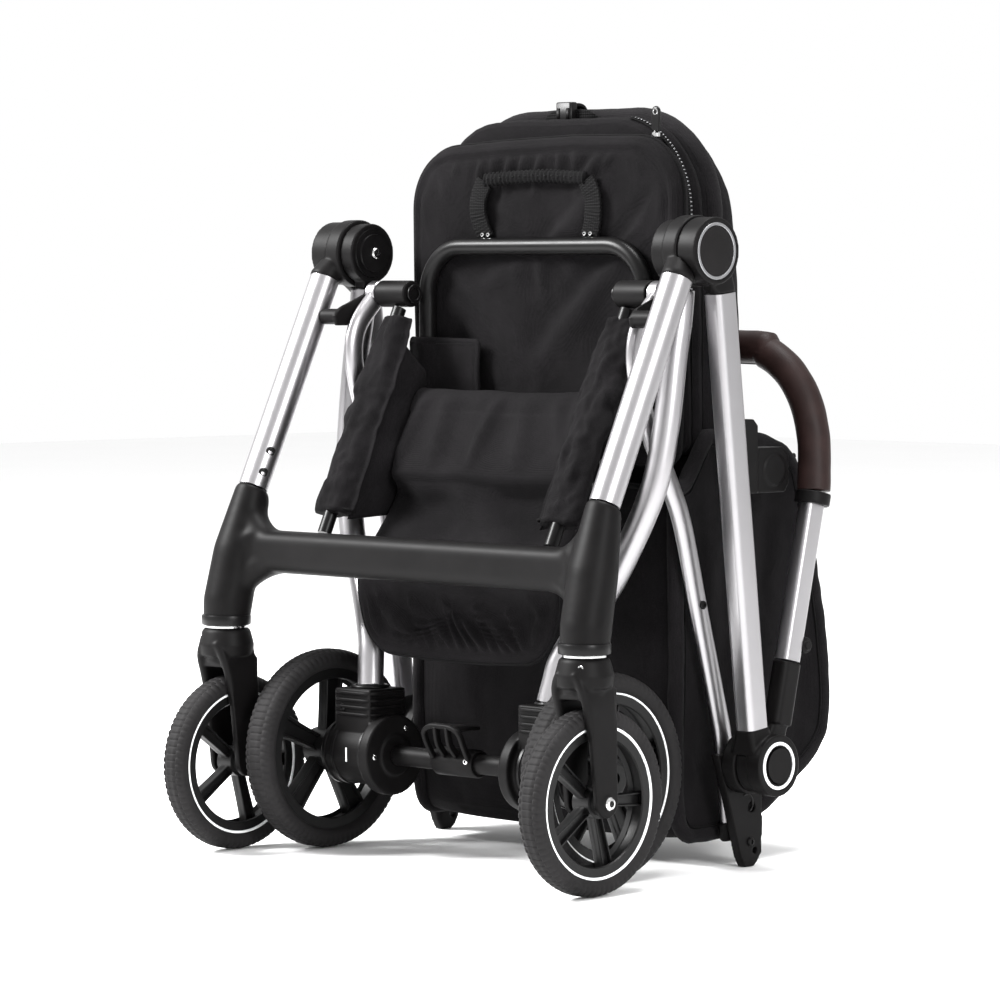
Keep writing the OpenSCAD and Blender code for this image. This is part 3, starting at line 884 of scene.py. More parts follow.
def make_link_fittings():
    """Rivets and end caps on the fold links."""
    for side, sign in SIDES:
        pieces = [bolt(at(200 * sign, 79, 257), (sign, 0, 0), 0.0042, PAINTED)]
        low, high = at(193 * sign, 128.2, 26), at(193 * sign, 124.5, 44)
        cap = sweep("cap", [low, low.lerp(high, 0.12), low.lerp(high, 0.9), high],
                    round_section(0.0084, 0.0125, 28),
                    scale=lambda t: (0.86, 0.86) if t == 0 else (1, 1))
        pieces.append(painted(cap, PLASTIC))
        finished(joined(f"fold_link_{side}_fittings", pieces), "fold_links", None)


def make_grip():
    """Leather-look cover round the handle's arch, with a sewn seam along its inner side."""
    half = [(240, 196, 364.5), (238, 199, 385), (234, 203, 413), (226, 204, 443), (214, 203, 467),
            (198, 201, 485),
            (176, 200, 498), (148, 199, 504)]
    points = half + [(-x, y, z) for x, y, z in reversed(half)]
    path = smooth_path([at(*p) for p in points], 8)
    cover = sweep("grip_cover", path, round_section(0.0163, 0.0163, 40), AXIS_Y)
    displaced(cover, lambda place, normal: 0.0005 * noise.noise(place * 55))
    seam_path = []
    for i, place in enumerate(path):
        along = (path[min(i + 1, len(path) - 1)] - path[max(i - 1, 0)]).normalized()
        inward = along.cross(AXIS_Y).normalized()
        seam_path.append(place + inward * 0.0163)
    seam = sweep("seam", seam_path, round_section(0.0009, 0.0009, 8), AXIS_Y)
    grip = joined("handle_grip_cover", [painted(cover, BROWN), painted(seam, BINDING)])
    finished(grip, "handlebar", None, ["handle_grip"])


make_moulded_parts()
make_footrest()
make_pedal()
make_wheels()
make_link_fittings()
make_grip()


# ---------------------------------------------------------------- soft goods: skins


def rounded_outline(corners, step=4.0):
    """Closed outline in millimetres; each corner is (a, b, radius)."""
    points, count = [], len(corners)
    for i, (a, b, radius) in enumerate(corners):
        here = np.array((a, b), dtype=float)
        before = np.array(corners[i - 1][:2], dtype=float) - here
        after = np.array(corners[(i + 1) % count][:2], dtype=float) - here
        before, after = before / np.linalg.norm(before), after / np.linalg.norm(after)
        half = math.acos(np.clip(before @ after, -1, 1)) / 2
        if radius <= 0 or half > 1.56:
            points.append(here)
            continue
        reach = radius / math.tan(half)
        start, end = here + before * reach, here + after * reach
        middle = here + (before + after) / np.linalg.norm(before + after) * radius / math.sin(half)
        first = math.atan2(*(start - middle)[::-1])
        turn = (math.atan2(*(end - middle)[::-1]) - first + math.pi) % (2 * math.pi) - math.pi
        for k in range(13):
            angle = first + turn * k / 12
            points.append(middle + radius * np.array((math.cos(angle), math.sin(angle))))
    return resampled(points, step, closed=True)


def edge_distance(points, outline):
    """How far each point is from the outline, in the same units."""
    ends = np.roll(outline, -1, axis=0)
    run = ends - outline
    length = (run ** 2).sum(1)
    out = np.empty(len(points))
    for start in range(0, len(points), 2000):
        part = points[start:start + 2000, None, :] - outline[None]
        along = np.clip((part * run[None]).sum(2) / length[None], 0, 1)
        out[start:start + 2000] = np.sqrt(((part - along[..., None] * run[None]) ** 2).sum(2)).min(1)
    return out


def pad_skin(name, outline, front, back, place, finest=1.4, coarsest=5.0):
    """Closed pad on an outline; front and back give the depth from (points, distance to the edge), in mm."""
    centre = (outline.max(0) + outline.min(0)) / 2
    reach = np.linalg.norm(outline - centre, axis=1).min()
    insets, step = [0.0], finest
    while insets[-1] + step < reach * 0.97:
        insets.append(insets[-1] + step)
        step = min(step * 1.12, coarsest)
    rings = [centre + (1 - inset / reach) * (outline - centre) for inset in insets]
    flat = np.vstack([*rings, centre[None]])
    away = edge_distance(flat, outline)
    count, layers = len(outline), len(rings)
    verts = []
    for depth in (front(flat, away), back(flat, away)):
        verts += [place(a, b, d) for (a, b), d in zip(flat, depth)]
    faces, other = [], len(flat)
    for base in (0, other):
        faces += band_faces(layers, count, base=base)
        last = base + (layers - 1) * count
        faces += [(last + k, last + (k + 1) % count, base + layers * count) for k in range(count)]
    faces += [(k, (k + 1) % count, other + (k + 1) % count, other + k) for k in range(count)]
    return mesh_object(name, verts, faces)


def cloth_skin(name, grid, thick=0.0016):
    """A sheet of cloth of real thickness on a grid of places."""
    rows, cols = len(grid), len(grid[0])
    normals = []
    for i in range(rows):
        for k in range(cols):
            along = grid[min(i + 1, rows - 1)][k] - grid[max(i - 1, 0)][k]
            across = grid[i][min(k + 1, cols - 1)] - grid[i][max(k - 1, 0)]
            normal = along.cross(across)
            normals.append(normal.normalized() if normal.length > 1e-12 else Vector((0, -1, 0)))
    flat = [p for row in grid for p in row]
    verts = [p + n * thick / 2 for p, n in zip(flat, normals)] + [p - n * thick / 2 for p,
                                                                  n in zip(flat, normals)]
    faces, other = [], rows * cols
    for i in range(rows - 1):
        for k in range(cols - 1):
            a = i * cols + k
            faces.append((a, a + 1, a + cols + 1, a + cols))
            faces.append((other + a, other + a + cols, other + a + cols + 1, other + a + 1))
    border = [k for k in range(cols)] + [i * cols + cols - 1 for i in range(1, rows)]
    border += [(rows - 1) * cols + k for k in range(cols - 2, -1, -1)] + [i * cols for i in range(rows - 2, 0,
                                                                                                  -1)]
    for i, a in enumerate(border):
        b = border[(i + 1) % len(border)]
        faces.append((a, b, other + b, other + a))
    return mesh_object(name, verts, faces)


def folds(points, lines):
    """Soft folds on straight lines (a0, b0, a1, b1, half width, height): a ridge beside a hollow."""
    total = np.zeros(len(points))
    for a0, b0, a1, b1, width, height in lines:
        start, run = np.array((a0, b0), dtype=float), np.array((a1 - a0, b1 - b0), dtype=float)
        length = np.linalg.norm(run)
        unit = run / length
        offset = points - start
        along = offset @ unit / length
        side = offset @ np.array((-unit[1], unit[0])) / width
        inside = np.clip(along, 0, 1)
        beyond = (along - inside) * length / width
        taper = np.sin(np.pi * np.clip(0.12 + 0.76 * inside, 0, 1))
        total += height * (side + 0.35) * 1.3 * np.exp(-(side ** 2) - beyond ** 2) * taper
    return total


def rumple(points, scale, height, seed=0.0, stretch=(1, 1)):
    """Low, uneven waves in mm."""
    return np.array(
        [height * uneven(a / scale / stretch[0] + seed, b / scale / stretch[1], seed * 0.7)
         for a, b in points]
    )


def groove(distance, at_distance, width, depth):
    """A sewn line pulled into the cloth at a constant distance from the edge."""
    return depth * np.exp(-(((distance - at_distance) / width) ** 2))


def crown(distance, reach, height):
    """Rounding of a pad from its edge to its full thickness."""
    t = np.clip(distance / reach, 0, 1)
    return height * np.sqrt(1 - (1 - t) ** 2)


def stitches(name, path, pitch=3.2, length=2.0, radius=0.35, lift=Vector((0, 0, 0))):
    """A row of short raised threads along a path in metres."""
    points = resampled([tuple(p) for p in path], pitch * MM)
    verts, faces = [], []
    for i in range(len(points) - 1):
        here = Vector(points[i]) + lift
        along = (Vector(points[i + 1]) - Vector(points[i])).normalized()
        helper = AXIS_Y if abs(along.y) < 0.8 else AXIS_X
        u = along.cross(helper).normalized()
        v = along.cross(u)
        base = len(verts)
        for t, r in ((-0.5, 0.25), (-0.3, 0.9), (0.3, 0.9), (0.5, 0.25)):
            for k in range(5):
                angle = 2 * math.pi * k / 5
                verts.append(here + along * t * length * MM + (math.cos(angle) * u + math.sin(angle) * v) * r
                             * radius * MM)
        faces += band_faces(4, 5, base=base) + end_faces(4, 5, base)
    return painted(mesh_object(name, verts, faces), THREAD)


def hoop_path(half, low, top, corner, y, steps):
    """Places up one side, over the top and down the other; steps is for (sides, corners, top)."""
    straight, bend, level = steps
    rise = top - corner - low
    turns = [math.radians(90 * k / bend) for k in range(bend + 1)]
    path = [at(-half, y, low + rise * k / straight) for k in range(straight)]
    path += [at(-half + corner - corner * math.cos(t), y,
                top - corner + corner * math.sin(t)) for t in turns[:-1]]
    path += [at(-half + corner + (2 * half - 2 * corner) * k / level, y, top) for k in range(level + 1)]
    path += [at(half - corner + corner * math.sin(t), y,
                top - corner + corner * math.cos(t)) for t in turns[1:]]
    return path + [at(half, y, top - corner - rise * k / straight) for k in range(1, straight + 1)]


def piping(name, outline, place, radius=1.5, closed=True):
    """Covered cord sewn along an edge."""
    path = [place(a, b) for a, b in outline]
    return painted(sweep(name, path, round_section(radius * MM, radius * MM, 10), AXIS_Y, closed=closed),
                   BINDING)


# ---------------------------------------------------------------- backrest


def make_backrest():
    outline = rounded_outline([(-176, 390, 18), (176, 390, 18), (182, 560, 400), (183, 708, 60),
                               (40, 711, 300),
                               (-60, 708, 300), (-184, 701, 62), (-182, 560, 400)])
    gathers = [(-140, 698, -158, 658, 6, 6.5), (-112, 702, -120, 676, 5, 5.5), (-78, 704, -88, 662, 6, 7.0),
               (-62, 704, -70, 680, 5, 5.0), (-40, 706, -52, 658, 7, 8.0), (-22, 706, -28, 670, 5, 6.5),
               (2, 707, -8, 662, 6, 7.0), (22, 707, 24, 678, 5, 6.0), (38, 707, 52, 668, 7, 7.5),
               (84, 700, 50, 660, 9, 8.0), (98, 700, 86, 682, 5, 4.5)]
    wide = [(84, 668, 2, 598, 12, 8.0), (150, 640, 108, 600, 12, 6.5), (168, 668, 140, 622, 13, 4.5),
            (-132, 582, -14, 486, 15, 9.5), (104, 596, 2, 500, 16, 10.0), (-120, 548, -60, 470, 14, 5.5),
            (-20, 592, -90, 562, 11, 4.5), (136, 560, 70, 470, 15, 6.5), (-166, 640, -142, 600, 11, 4.5),
            (-170, 690, -128, 650, 10, 4.5), (20, 590, 60, 560, 11, 4.5), (-60, 640, -20, 622, 9, 4.0),
            (-30, 596, -34, 566, 8, 4.0), (-6, 594, 2, 560, 9, 3.6), (64, 640, 40, 618, 9, 3.6)]

    hoop_half, hoop_top = 149, 603

    def front(points, away):
        depth = 68 - crown(away, 10, 8.6)
        loose = np.clip((away - 14) / 12, 0, 1)
        swell = (folds(points, gathers) + folds(points, wide)) * loose + rumple(points, 62, 5.5, 3.1,
                                                                                (1, 1.4)) * loose
        swell += rumple(points, 17, 0.9, 7.7) * loose
        x, z = np.abs(points[:, 0]), points[:, 1]
        from_hoop = np.minimum(np.abs(x - hoop_half), np.where(x < hoop_half, np.abs(z - hoop_top), 99))
        room = 1.4 + 6.5 * np.clip((from_hoop - 9) / 12, 0, 1)
        depth -= np.minimum(swell, room * np.tanh(np.maximum(swell, 0) / room))
        return depth + groove(away, 13.5, 1.7, 2.2) + groove(away, 4.0, 1.2, 1.4)

    def back(points, away):
        return 72 + crown(away, 9, 10) - groove(away, 12, 2, 1.5)

    cover = painted(pad_skin("cover", outline, front, back, lambda a, b, d: at(a, d, b)), FABRIC)
    edge = piping("edge", outline, lambda a, b: at(a * 1.002, 70.5, b), 1.9)
    finished(joined("backrest_cover", [cover, edge]), "front_frame", None, ["backrest_panel"])

    path = hoop_path(hoop_half, 452, hoop_top, 48, 51.8, (10, 12, 12))
    tube = sweep("backrest_hoop", path, round_section(0.0088, 0.0088, 32), AXIS_Y)
    finished(tube, "front_frame", PAINTED, ["backrest_tube"])

    pocket = rounded_outline([(-168, 420, 4), (-70, 420, 4), (-69, 511, 6), (-169, 513, 6)], 3)

    def pocket_front(points, away):
        tube_bulge = 6 * np.exp(-(((points[:, 0] + 149) / 13) ** 2))
        return 46 - crown(away, 2.5, 1.6) - tube_bulge - rumple(points, 30, 1.4, 5.2) + groove(away, 6, 1,
                                                                                               0.7)

    def pocket_back(points, away):
        return pocket_front(points, np.full(len(points), 9.0)) + 2.2

    flap = painted(pad_skin("flap", pocket, pocket_front, pocket_back, lambda a, b, d: at(a, d, b), 1.2, 4),
                   FABRIC)
    hem = stitches("hem", [at(-128, 43.6, 506), at(-76, 43.8, 506)])
    flap = joined("backrest_pocket", [flap, hem])
    finished(flap, "front_frame", None)


def make_carry_handle():
    """Two ribbed webbing legs and a gathered elastic top."""
    pieces = []
    for sign, low_x in ((-1, -70), (1, 70)):
        path = smooth_path([at(low_x + sign * a, 57 - b, z) for a, b, z in
                            ((0, 0, 611), (6, 2, 624), (9, 4, 640), (7, 4, 654), (0, 4, 667))], 14)
        verts, section = [], box_section(0.021, 0.0028, 0.0009, 3)
        for i, place in enumerate(path):
            along = (path[min(i + 1, len(path) - 1)] - path[max(i - 1, 0)]).normalized()
            u = AXIS_X
            u = (u - along * u.dot(along)).normalized()
            v = along.cross(u)
            rib = 1.35 if i % 3 else 0.6
            verts += [place + u * a + v * b * rib for a, b in section]
        faces = band_faces(len(path), len(section)) + end_faces(len(path), len(section))
        pieces.append(painted(mesh_object("leg", verts, faces), WEBBING))
        for side in (-4, 4):
            pieces.append(bolt(at(low_x + side, 54.6, 615), (0, -1, 0), 0.0022))
    verts, sides = [], 20
    for i in range(97):
        t = i / 96
        x = -68 + 136 * t
        pucker = 1 + 0.14 * math.cos(2 * math.pi * i / 4) + 0.06 * math.sin(i * 1.7)
        middle = at(x, 52.5, 669 + 3 * math.sin(math.pi * t))
        for k in range(sides):
            angle = 2 * math.pi * k / sides
            verts.append(middle + Vector((0, 0.0034 * math.cos(angle) * pucker,
                                          0.0062 * math.sin(angle) * pucker)))
    faces = band_faces(97, sides) + end_faces(97, sides)
    pieces.append(painted(mesh_object("top", verts, faces), BINDING))
    pieces.append(stitches("dots", [at(-62, 48.6, 670.5), at(0, 48.4, 673), at(62, 48.6, 670.5)], 9, 2.4,
                           0.5))
    strap = joined("carry_handle_strap", pieces)
    finished(strap, "front_frame", None, ["carry_handle"])


# ---------------------------------------------------------------- seat

SLEEVE_TOP, SLEEVE_SLOPE = (4, 510), math.radians(25.2)
SLEEVE_X = 153


def sleeve_point(side_x, along, proud=0.0):
    """A place on the sleeve's line: along runs down it and proud out of its front, in millimetres."""
    y = SLEEVE_TOP[0] - along * math.sin(SLEEVE_SLOPE) - proud * math.cos(SLEEVE_SLOPE)
    z = SLEEVE_TOP[1] - along * math.cos(SLEEVE_SLOPE) + proud * math.sin(SLEEVE_SLOPE)
    return at(side_x, y, z)


def make_sleeves():
    """Fabric channels sewn round the seat's side tubes, with a flat sewn margin and slack folds."""
    length, steps, sides = 214, 96, 64
    for side, sign in SIDES:
        seed = 4.0 if sign > 0 else 9.5
        verts = []
        for i in range(steps + 1):
            along = -24 + length * i / steps
            t = i / steps
            bumps = 6 * math.exp(-(((along - 52) / 13) ** 2)) + 7 * math.exp(-(((along - 84) / 11) ** 2))
            bumps += 5 * math.exp(-(((along - 176) / 14) ** 2)) - 3 * math.exp(-(((along - 68) / 6) ** 2))
            wide = 25 - 6 * max(0, 1 - t * 6) + 1.5 * uneven(along / 22, seed, 0)
            deep = 11.4 - 1.8 * max(0, 1 - t * 8) + 1.0 * uneven(along / 17, 0, seed)
            if t in (0, 1):
                wide, deep = wide - 0.8, deep * 0.75
            for k in range(sides):
                angle = 2 * math.pi * k / sides
                c, s = math.cos(angle), math.sin(angle)
                reach = wide + (bumps if c > 0 else 0.2 * bumps) * abs(c) ** 0.5
                x = reach * c
                margin = max(0.0, min(1.0, (-c - 0.62) / 0.2))
                y = deep * math.copysign(abs(s) ** 1.15, s) * (1 - 0.72 * margin)
                wave = uneven(x / 16, along / 30 + x / 40, seed)
                y += max(4.6 * wave + 2.4 * uneven(x / 7, along / 10, seed), -1.6) * (0.3 + 0.7 * abs(s))
                if s > 0:
                    y -= 1.5 * math.exp(-(((c + 0.6) / 0.05) ** 2))
                shift = x if sign > 0 else -x
                verts.append(sleeve_point(sign * SLEEVE_X + shift, along, y - 1))
        faces = band_faces(steps + 1, sides) + end_faces(steps + 1, sides)
        body = painted(mesh_object("body", verts, faces), FABRIC)
        inner = sign * (SLEEVE_X - 17)
        seam = stitches("seam", [sleeve_point(inner, -6, 3.2), sleeve_point(inner, 90, 3.2),
                                 sleeve_point(inner, 184, 3.2)],
                        3.0, 2.0, 0.25)
        cuff = painted(sweep("cuff",
                             [sleeve_point(sign * (SLEEVE_X + 25 * math.cos(a)), 186, 8.2 * math.sin(a) - 1)
                                      for a in [2 * math.pi * k / 48 for k in range(48)]],
                             round_section(0.0013, 0.0013, 8), Vector((0, 0.5, 1)), closed=True), BINDING)
        sleeve = joined(f"seat_sleeve_{side}_cloth", [body, seam, cuff])
        finished(sleeve, "front_frame", None, [f"seat_sleeve_{side}"])


def make_seat():
    """The folded seat between its side channels: a pleated upper face, a crease and a sunken lower face."""
    profile = smooth_path([Vector(p) for p in ((26, 452, 0), (24, 458, 0), (17, 461, 0), (9, 456, 0),
                                               (1, 440, 0),
                                               (-13, 410, 0), (-25, 386, 0), (-28, 377, 0), (-24, 368, 0),
                                               (-22, 352, 0), (-30, 332, 0), (-46, 312, 0))], 7)
    profile = resampled([tuple(p)[:2] for p in profile], 3.2)
    cols = 90
    # place across at the top edge, half width, height and how far the fold leans on its way down
    pleats = ((-104, 10, 5.5, -0.2), (-70, 13, 7.0, 0.1), (-26, 16, 4.0, 0.35), (-2, 8, 5.0, -0.15),
              (34, 14, 6.5, 0.3), (78, 11, 4.5, 0.5), (108, 9, 5.5, 0.1))
    grid = []
    for y, z in profile:
        row = []
        for k in range(cols + 1):
            u = -1 + 2 * k / cols
            half = 131 + 3 * (z > 440)
            x = half * u
            upper = max(0.0, min(1.0, (z - 382) / 20)) * max(0.0, min(1.0, (462 - z) / 14))
            lower = max(0.0, min(1.0, (372 - z) / 14))
            dy = sum(-high * math.exp(-(((x - px - lean * (456 - z)) / w) ** 2)) for px, w, high,
                     lean in pleats) * upper
            slant = (x - 40) * 0.6 + (z - 340) * 0.8
            dy += lower * 6.5 * math.sin(slant / 15 + 2 * uneven(x / 60, z / 60, 2))
            dy += 2.5 * uneven(x / 45, z / 60, 0.5) * (upper + lower)
            edge = max(0.0, (abs(u) - 0.86) / 0.14)
            dy += 14 * edge ** 2
            dz = 2.2 * uneven(x / 50, 8.2, 0) - 2.0 * (1 - u * u) * (z > 440)
            row.append(at(x, y + dy, z + dz))
        grid.append(row)
    face = painted(cloth_skin("face", grid, 0.0022), FABRIC)
    hem = stitches("hem", [at(x, 5.5, 447.5) for x in (-122, -60, 0, 60, 122)], 3.4, 2.2, 0.3)
    pieces = [face, hem]
    for _, sign in SIDES:
        gusset = []
        for i in range(46):
            t = i / 45
            z_out, z_in = 506 - 172 * t, 468 - 132 * t
            along = (SLEEVE_TOP[1] - z_out) / math.cos(SLEEVE_SLOPE)
            outer = sleeve_point(sign * (134 - 2 * t), along, -2)
            y_in = 24 + (-30 - 24) * t ** 1.1
            inner = at(sign * (133 - 4 * math.sin(math.pi * t)), y_in + 10, z_in)
            row = []
            for k in range(15):
                s = k / 14
                place = outer.lerp(inner, s)
                bow = 4 * math.sin(math.pi * s)
                wave = 4.5 * uneven(t * 5 + s, s * 2.2, sign * 3.0)
                place += Vector((-sign * (bow + wave) * MM, 0, 0))
                row.append(place)
            gusset.append(row)
        pieces.append(painted(cloth_skin("gusset", gusset, 0.002), FABRIC))
    seat = joined("seat_cloth", pieces)
    finished(seat, "front_frame", None, ["seat_fabric"])


def make_leg_rest():
    """Calf panel: bound edge, sewn margin and short slanting gathers over its lower seam."""
    outline = rounded_outline([(-137, 300, 3), (-139, 258, 60), (-122, 203, 46), (-40, 199, 200),
                               (40, 199, 200),
                               (122, 203, 46), (139, 258, 60), (137, 300, 3)], 3)
    gathers = []
    for k in range(13):
        x = -88 + 14.5 * k
        gathers.append((x - 17, 256 - 8 * (k % 3), x + 7, 214, 4.6, 7.6 + 1.8 * (k % 2)))
    gathers += [(-112, 264, -92, 228, 6, 5.0), (118, 262, 104, 222, 6, 5.0), (96, 268, 120, 244, 6, 3.6),
                (-122, 252, -110, 220, 5, 4.0), (-60, 282, 10, 264, 9, 3.4), (-20, 276, 60, 258, 7, 3.0)]

    def front(points, away):
        depth = -55.5 - crown(away, 8, 3.5)
        depth -= folds(points, gathers) * np.clip((away - 9) / 5, 0, 1)
        depth -= rumple(points, 34, 2.2, 2.4) * np.clip(away / 14, 0, 1)
        return depth + groove(away, 9.5, 1.3, 1.5)

    def back(points, away):
        return -53.5 + crown(away, 8, 2.5) - rumple(points, 40, 1.2, 6.1) * np.clip(away / 14, 0, 1)

    cover = painted(pad_skin("cover", outline, front, back, lambda a, b, d: at(a, d, b), 1.3, 3.4), FABRIC)
    edge = piping("edge", outline, lambda a, b: at(a, -54.5, b), 2.0)
    panel = joined("leg_rest_cover", [cover, edge])
    finished(panel, "leg_rest", None, ["leg_rest"])


# ---------------------------------------------------------------- canopy


CANOPY_FRONT, CANOPY_STEP = 81.5, 111  # where the front layers begin and end, in millimetres
FRONT_SHARE = 0.46


def arch_loop(half, low, top, corner, step=5.0):
    return rounded_outline([(-half, low, 14), (half, low, 14), (half, top, corner), (-half, top, corner)],
                           step)


def canopy_depth(z):
    """How far back the folded canopy reaches at a height."""
    return float(np.interp(z, [398, 428, 492, 550, 600, 647, 696, 735],
                           [137, 163, 177, 174, 169, 161, 151, 141]))


def canopy_place(share, z):
    """Depth of a layer: the first layers lie close together and the rear section takes the rest."""
    if share < FRONT_SHARE:
        return CANOPY_FRONT + share / FRONT_SHARE * (CANOPY_STEP - CANOPY_FRONT)
    return CANOPY_STEP + (share - FRONT_SHARE) / (1 - FRONT_SHARE) * (canopy_depth(z) - CANOPY_STEP)


def make_canopy():
    """The folded hood: layers gathered behind the backrest under a padded hoop."""
    # share of the depth, and how far the cloth lies inside the widest outline
    layers = [(0.0, 9), (0.05, 4), (0.12, 2.2), (0.19, 3.5), (0.23, 9), (0.27, 4.5), (0.34, 1.2), (0.42, 2.4),
              (0.46, 8), (0.5, 3.5), (0.58, 0.4), (0.68, 0), (0.78, 0.6), (0.86, 2.4), (0.92, 5.5),
              (0.97, 11), (1.0, 20)]
    shares = np.linspace(0, 1, 60)
    insets = np.interp(shares, [a for a, _ in layers], [b for _, b in layers])
    base = arch_loop(174, 399, 731, 96)
    centre = np.array((0.0, CANOPY_MIDDLE))
    verts, count = [], len(base)
    for share, inset in zip(shares, insets):
        for k, (x, z) in enumerate(base):
            out = np.array((x, z)) - centre
            unit = out / np.linalg.norm(out)
            rough = 1.6 * uneven(k / 9, share * 3, 1.5) + 0.8 * uneven(k / 3, share * 9, 4)
            x2, z2 = np.array((x, z)) - unit * (inset - rough)
            depth = canopy_place(share, z)
            verts.append(at(x2, depth, z2))
    for ring_scale in (0.85, 0.66, 0.44, 0.2):
        for x, z in base:
            x2, z2 = centre + (np.array((x, z)) - centre) * ring_scale
            sag = 3 * uneven(x2 / 60, z2 / 60, 7)
            verts.append(at(x2, min(canopy_depth(z2) + 2 + sag, 179), z2))
    rows = len(verts) // count
    faces = band_faces(rows, count)
    verts.append(at(0, canopy_depth(CANOPY_MIDDLE), CANOPY_MIDDLE))
    faces += [((rows - 1) * count + k, (rows - 1) * count + (k + 1) % count,
               len(verts) - 1) for k in range(count)]
    verts.append(at(0, CANOPY_FRONT + 0.5, CANOPY_MIDDLE))
    faces += [(k, (k + 1) % count, len(verts) - 1) for k in range(count)]
    hood = painted(mesh_object("hood", verts, faces), FABRIC)
    pieces = [hood]
    for share, radius in ((0.255, 0.9), (0.48, 0.9)):
        path = []
        for x, z in base:
            unit = (np.array((x, z)) - centre) / np.linalg.norm(np.array((x, z)) - centre)
            x2, z2 = np.array((x, z)) - unit * 6
            path.append(at(x2, canopy_place(share, z), z2))
        pieces.append(painted(sweep("seam", path, round_section(radius * MM, radius * MM, 8), AXIS_Y,
                                    closed=True), BINDING))
    seam = [at(169.5, canopy_depth(z) - 13, z) for z in range(440, 600, 8)]
    pieces.append(stitches("side_seam", seam, 3.4, 2.2, 0.3))
    pieces.append(mirrored(pieces[-1], "side_seam_left"))
    canopy = joined("canopy_cloth", pieces)
    finished(canopy, "front_frame", None, ["canopy_fabric"])

    points = hoop_path(168, 470, 727, 98, 126, (14, 18, 16))
    hoop = sweep("hoop", points, round_section(0.0115, 0.0128, 32), AXIS_Y,
                 scale=lambda t: (1 - 0.25 * max(0, abs(t - 0.5) * 4 - 1),
                                  1 - 0.25 * max(0, abs(t - 0.5) * 4 - 1)))
    displaced(hoop, lambda place, normal: 0.0007 * noise.noise(place * 28) + 0.0004 * noise.noise(place * 90))
    line = stitches("line", [p + Vector((0, -0.0095, -0.004)) for p in points[6:-6]], 3.4, 2.2, 0.3)
    hoop = joined("canopy_hoop_cover", [painted(hoop, FABRIC_SOFT), line])
    finished(hoop, "front_frame", None, ["canopy_bow"])


def make_clip():
    """Side-release buckle on a webbing tab, hooked over the hoop's cover."""
    node_low, node_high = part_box("canopy_clip")
    x0, x1 = node_low.x, node_high.x
    middle, y, top = (x0 + x1) / 2, node_low.y - 0.001, node_high.z
    shell = sweep("shell", [Vector((middle, y, top - 0.024)), Vector((middle, y, top - 0.022)),
                            Vector((middle, y, top - 0.001)), Vector((middle, y, top))],
                  box_section(0.021, 0.0105, 0.0025), scale=lambda t: (0.94, 0.8) if t in (0, 1) else (1, 1))
    prongs = [sweep("prong", [Vector((middle + side * 0.0065, y - 0.0056, top - 0.019)),
                              Vector((middle + side * 0.0065, y - 0.0056, top - 0.006))],
                    box_section(0.0034, 0.0014, 0.0006)) for side in (-1, 1)]
    hook = sweep("hook", smooth_path([Vector((middle, y + 0.002, top - 0.004)),
                                      Vector((middle, y + 0.008, top - 0.0025)),
                                      Vector((middle, y + 0.016, top - 0.0045)),
                                      Vector((middle, y + 0.022, top - 0.012))],
                                     6), box_section(0.020, 0.0036, 0.0012))
    pieces = [painted(shell, PLASTIC_SATIN), *[painted(p, PLASTIC) for p in prongs], painted(hook, PLASTIC)]
    tab = smooth_path([Vector((x0 - 0.016, y + 0.006, top - 0.021)),
                       Vector((x0 - 0.008, y + 0.003, top - 0.016)),
                       Vector((middle, y + 0.003, top - 0.014)), Vector((x1 + 0.010, y + 0.004, top - 0.015)),
                       Vector((x1 + 0.022, y + 0.008, top - 0.022))], 6)
    pieces.append(painted(sweep("tab", tab, box_section(0.0018, 0.014, 0.0006), AXIS_Y), WEBBING))
    finished(joined("canopy_buckle", pieces), "front_frame", None, ["canopy_clip"])


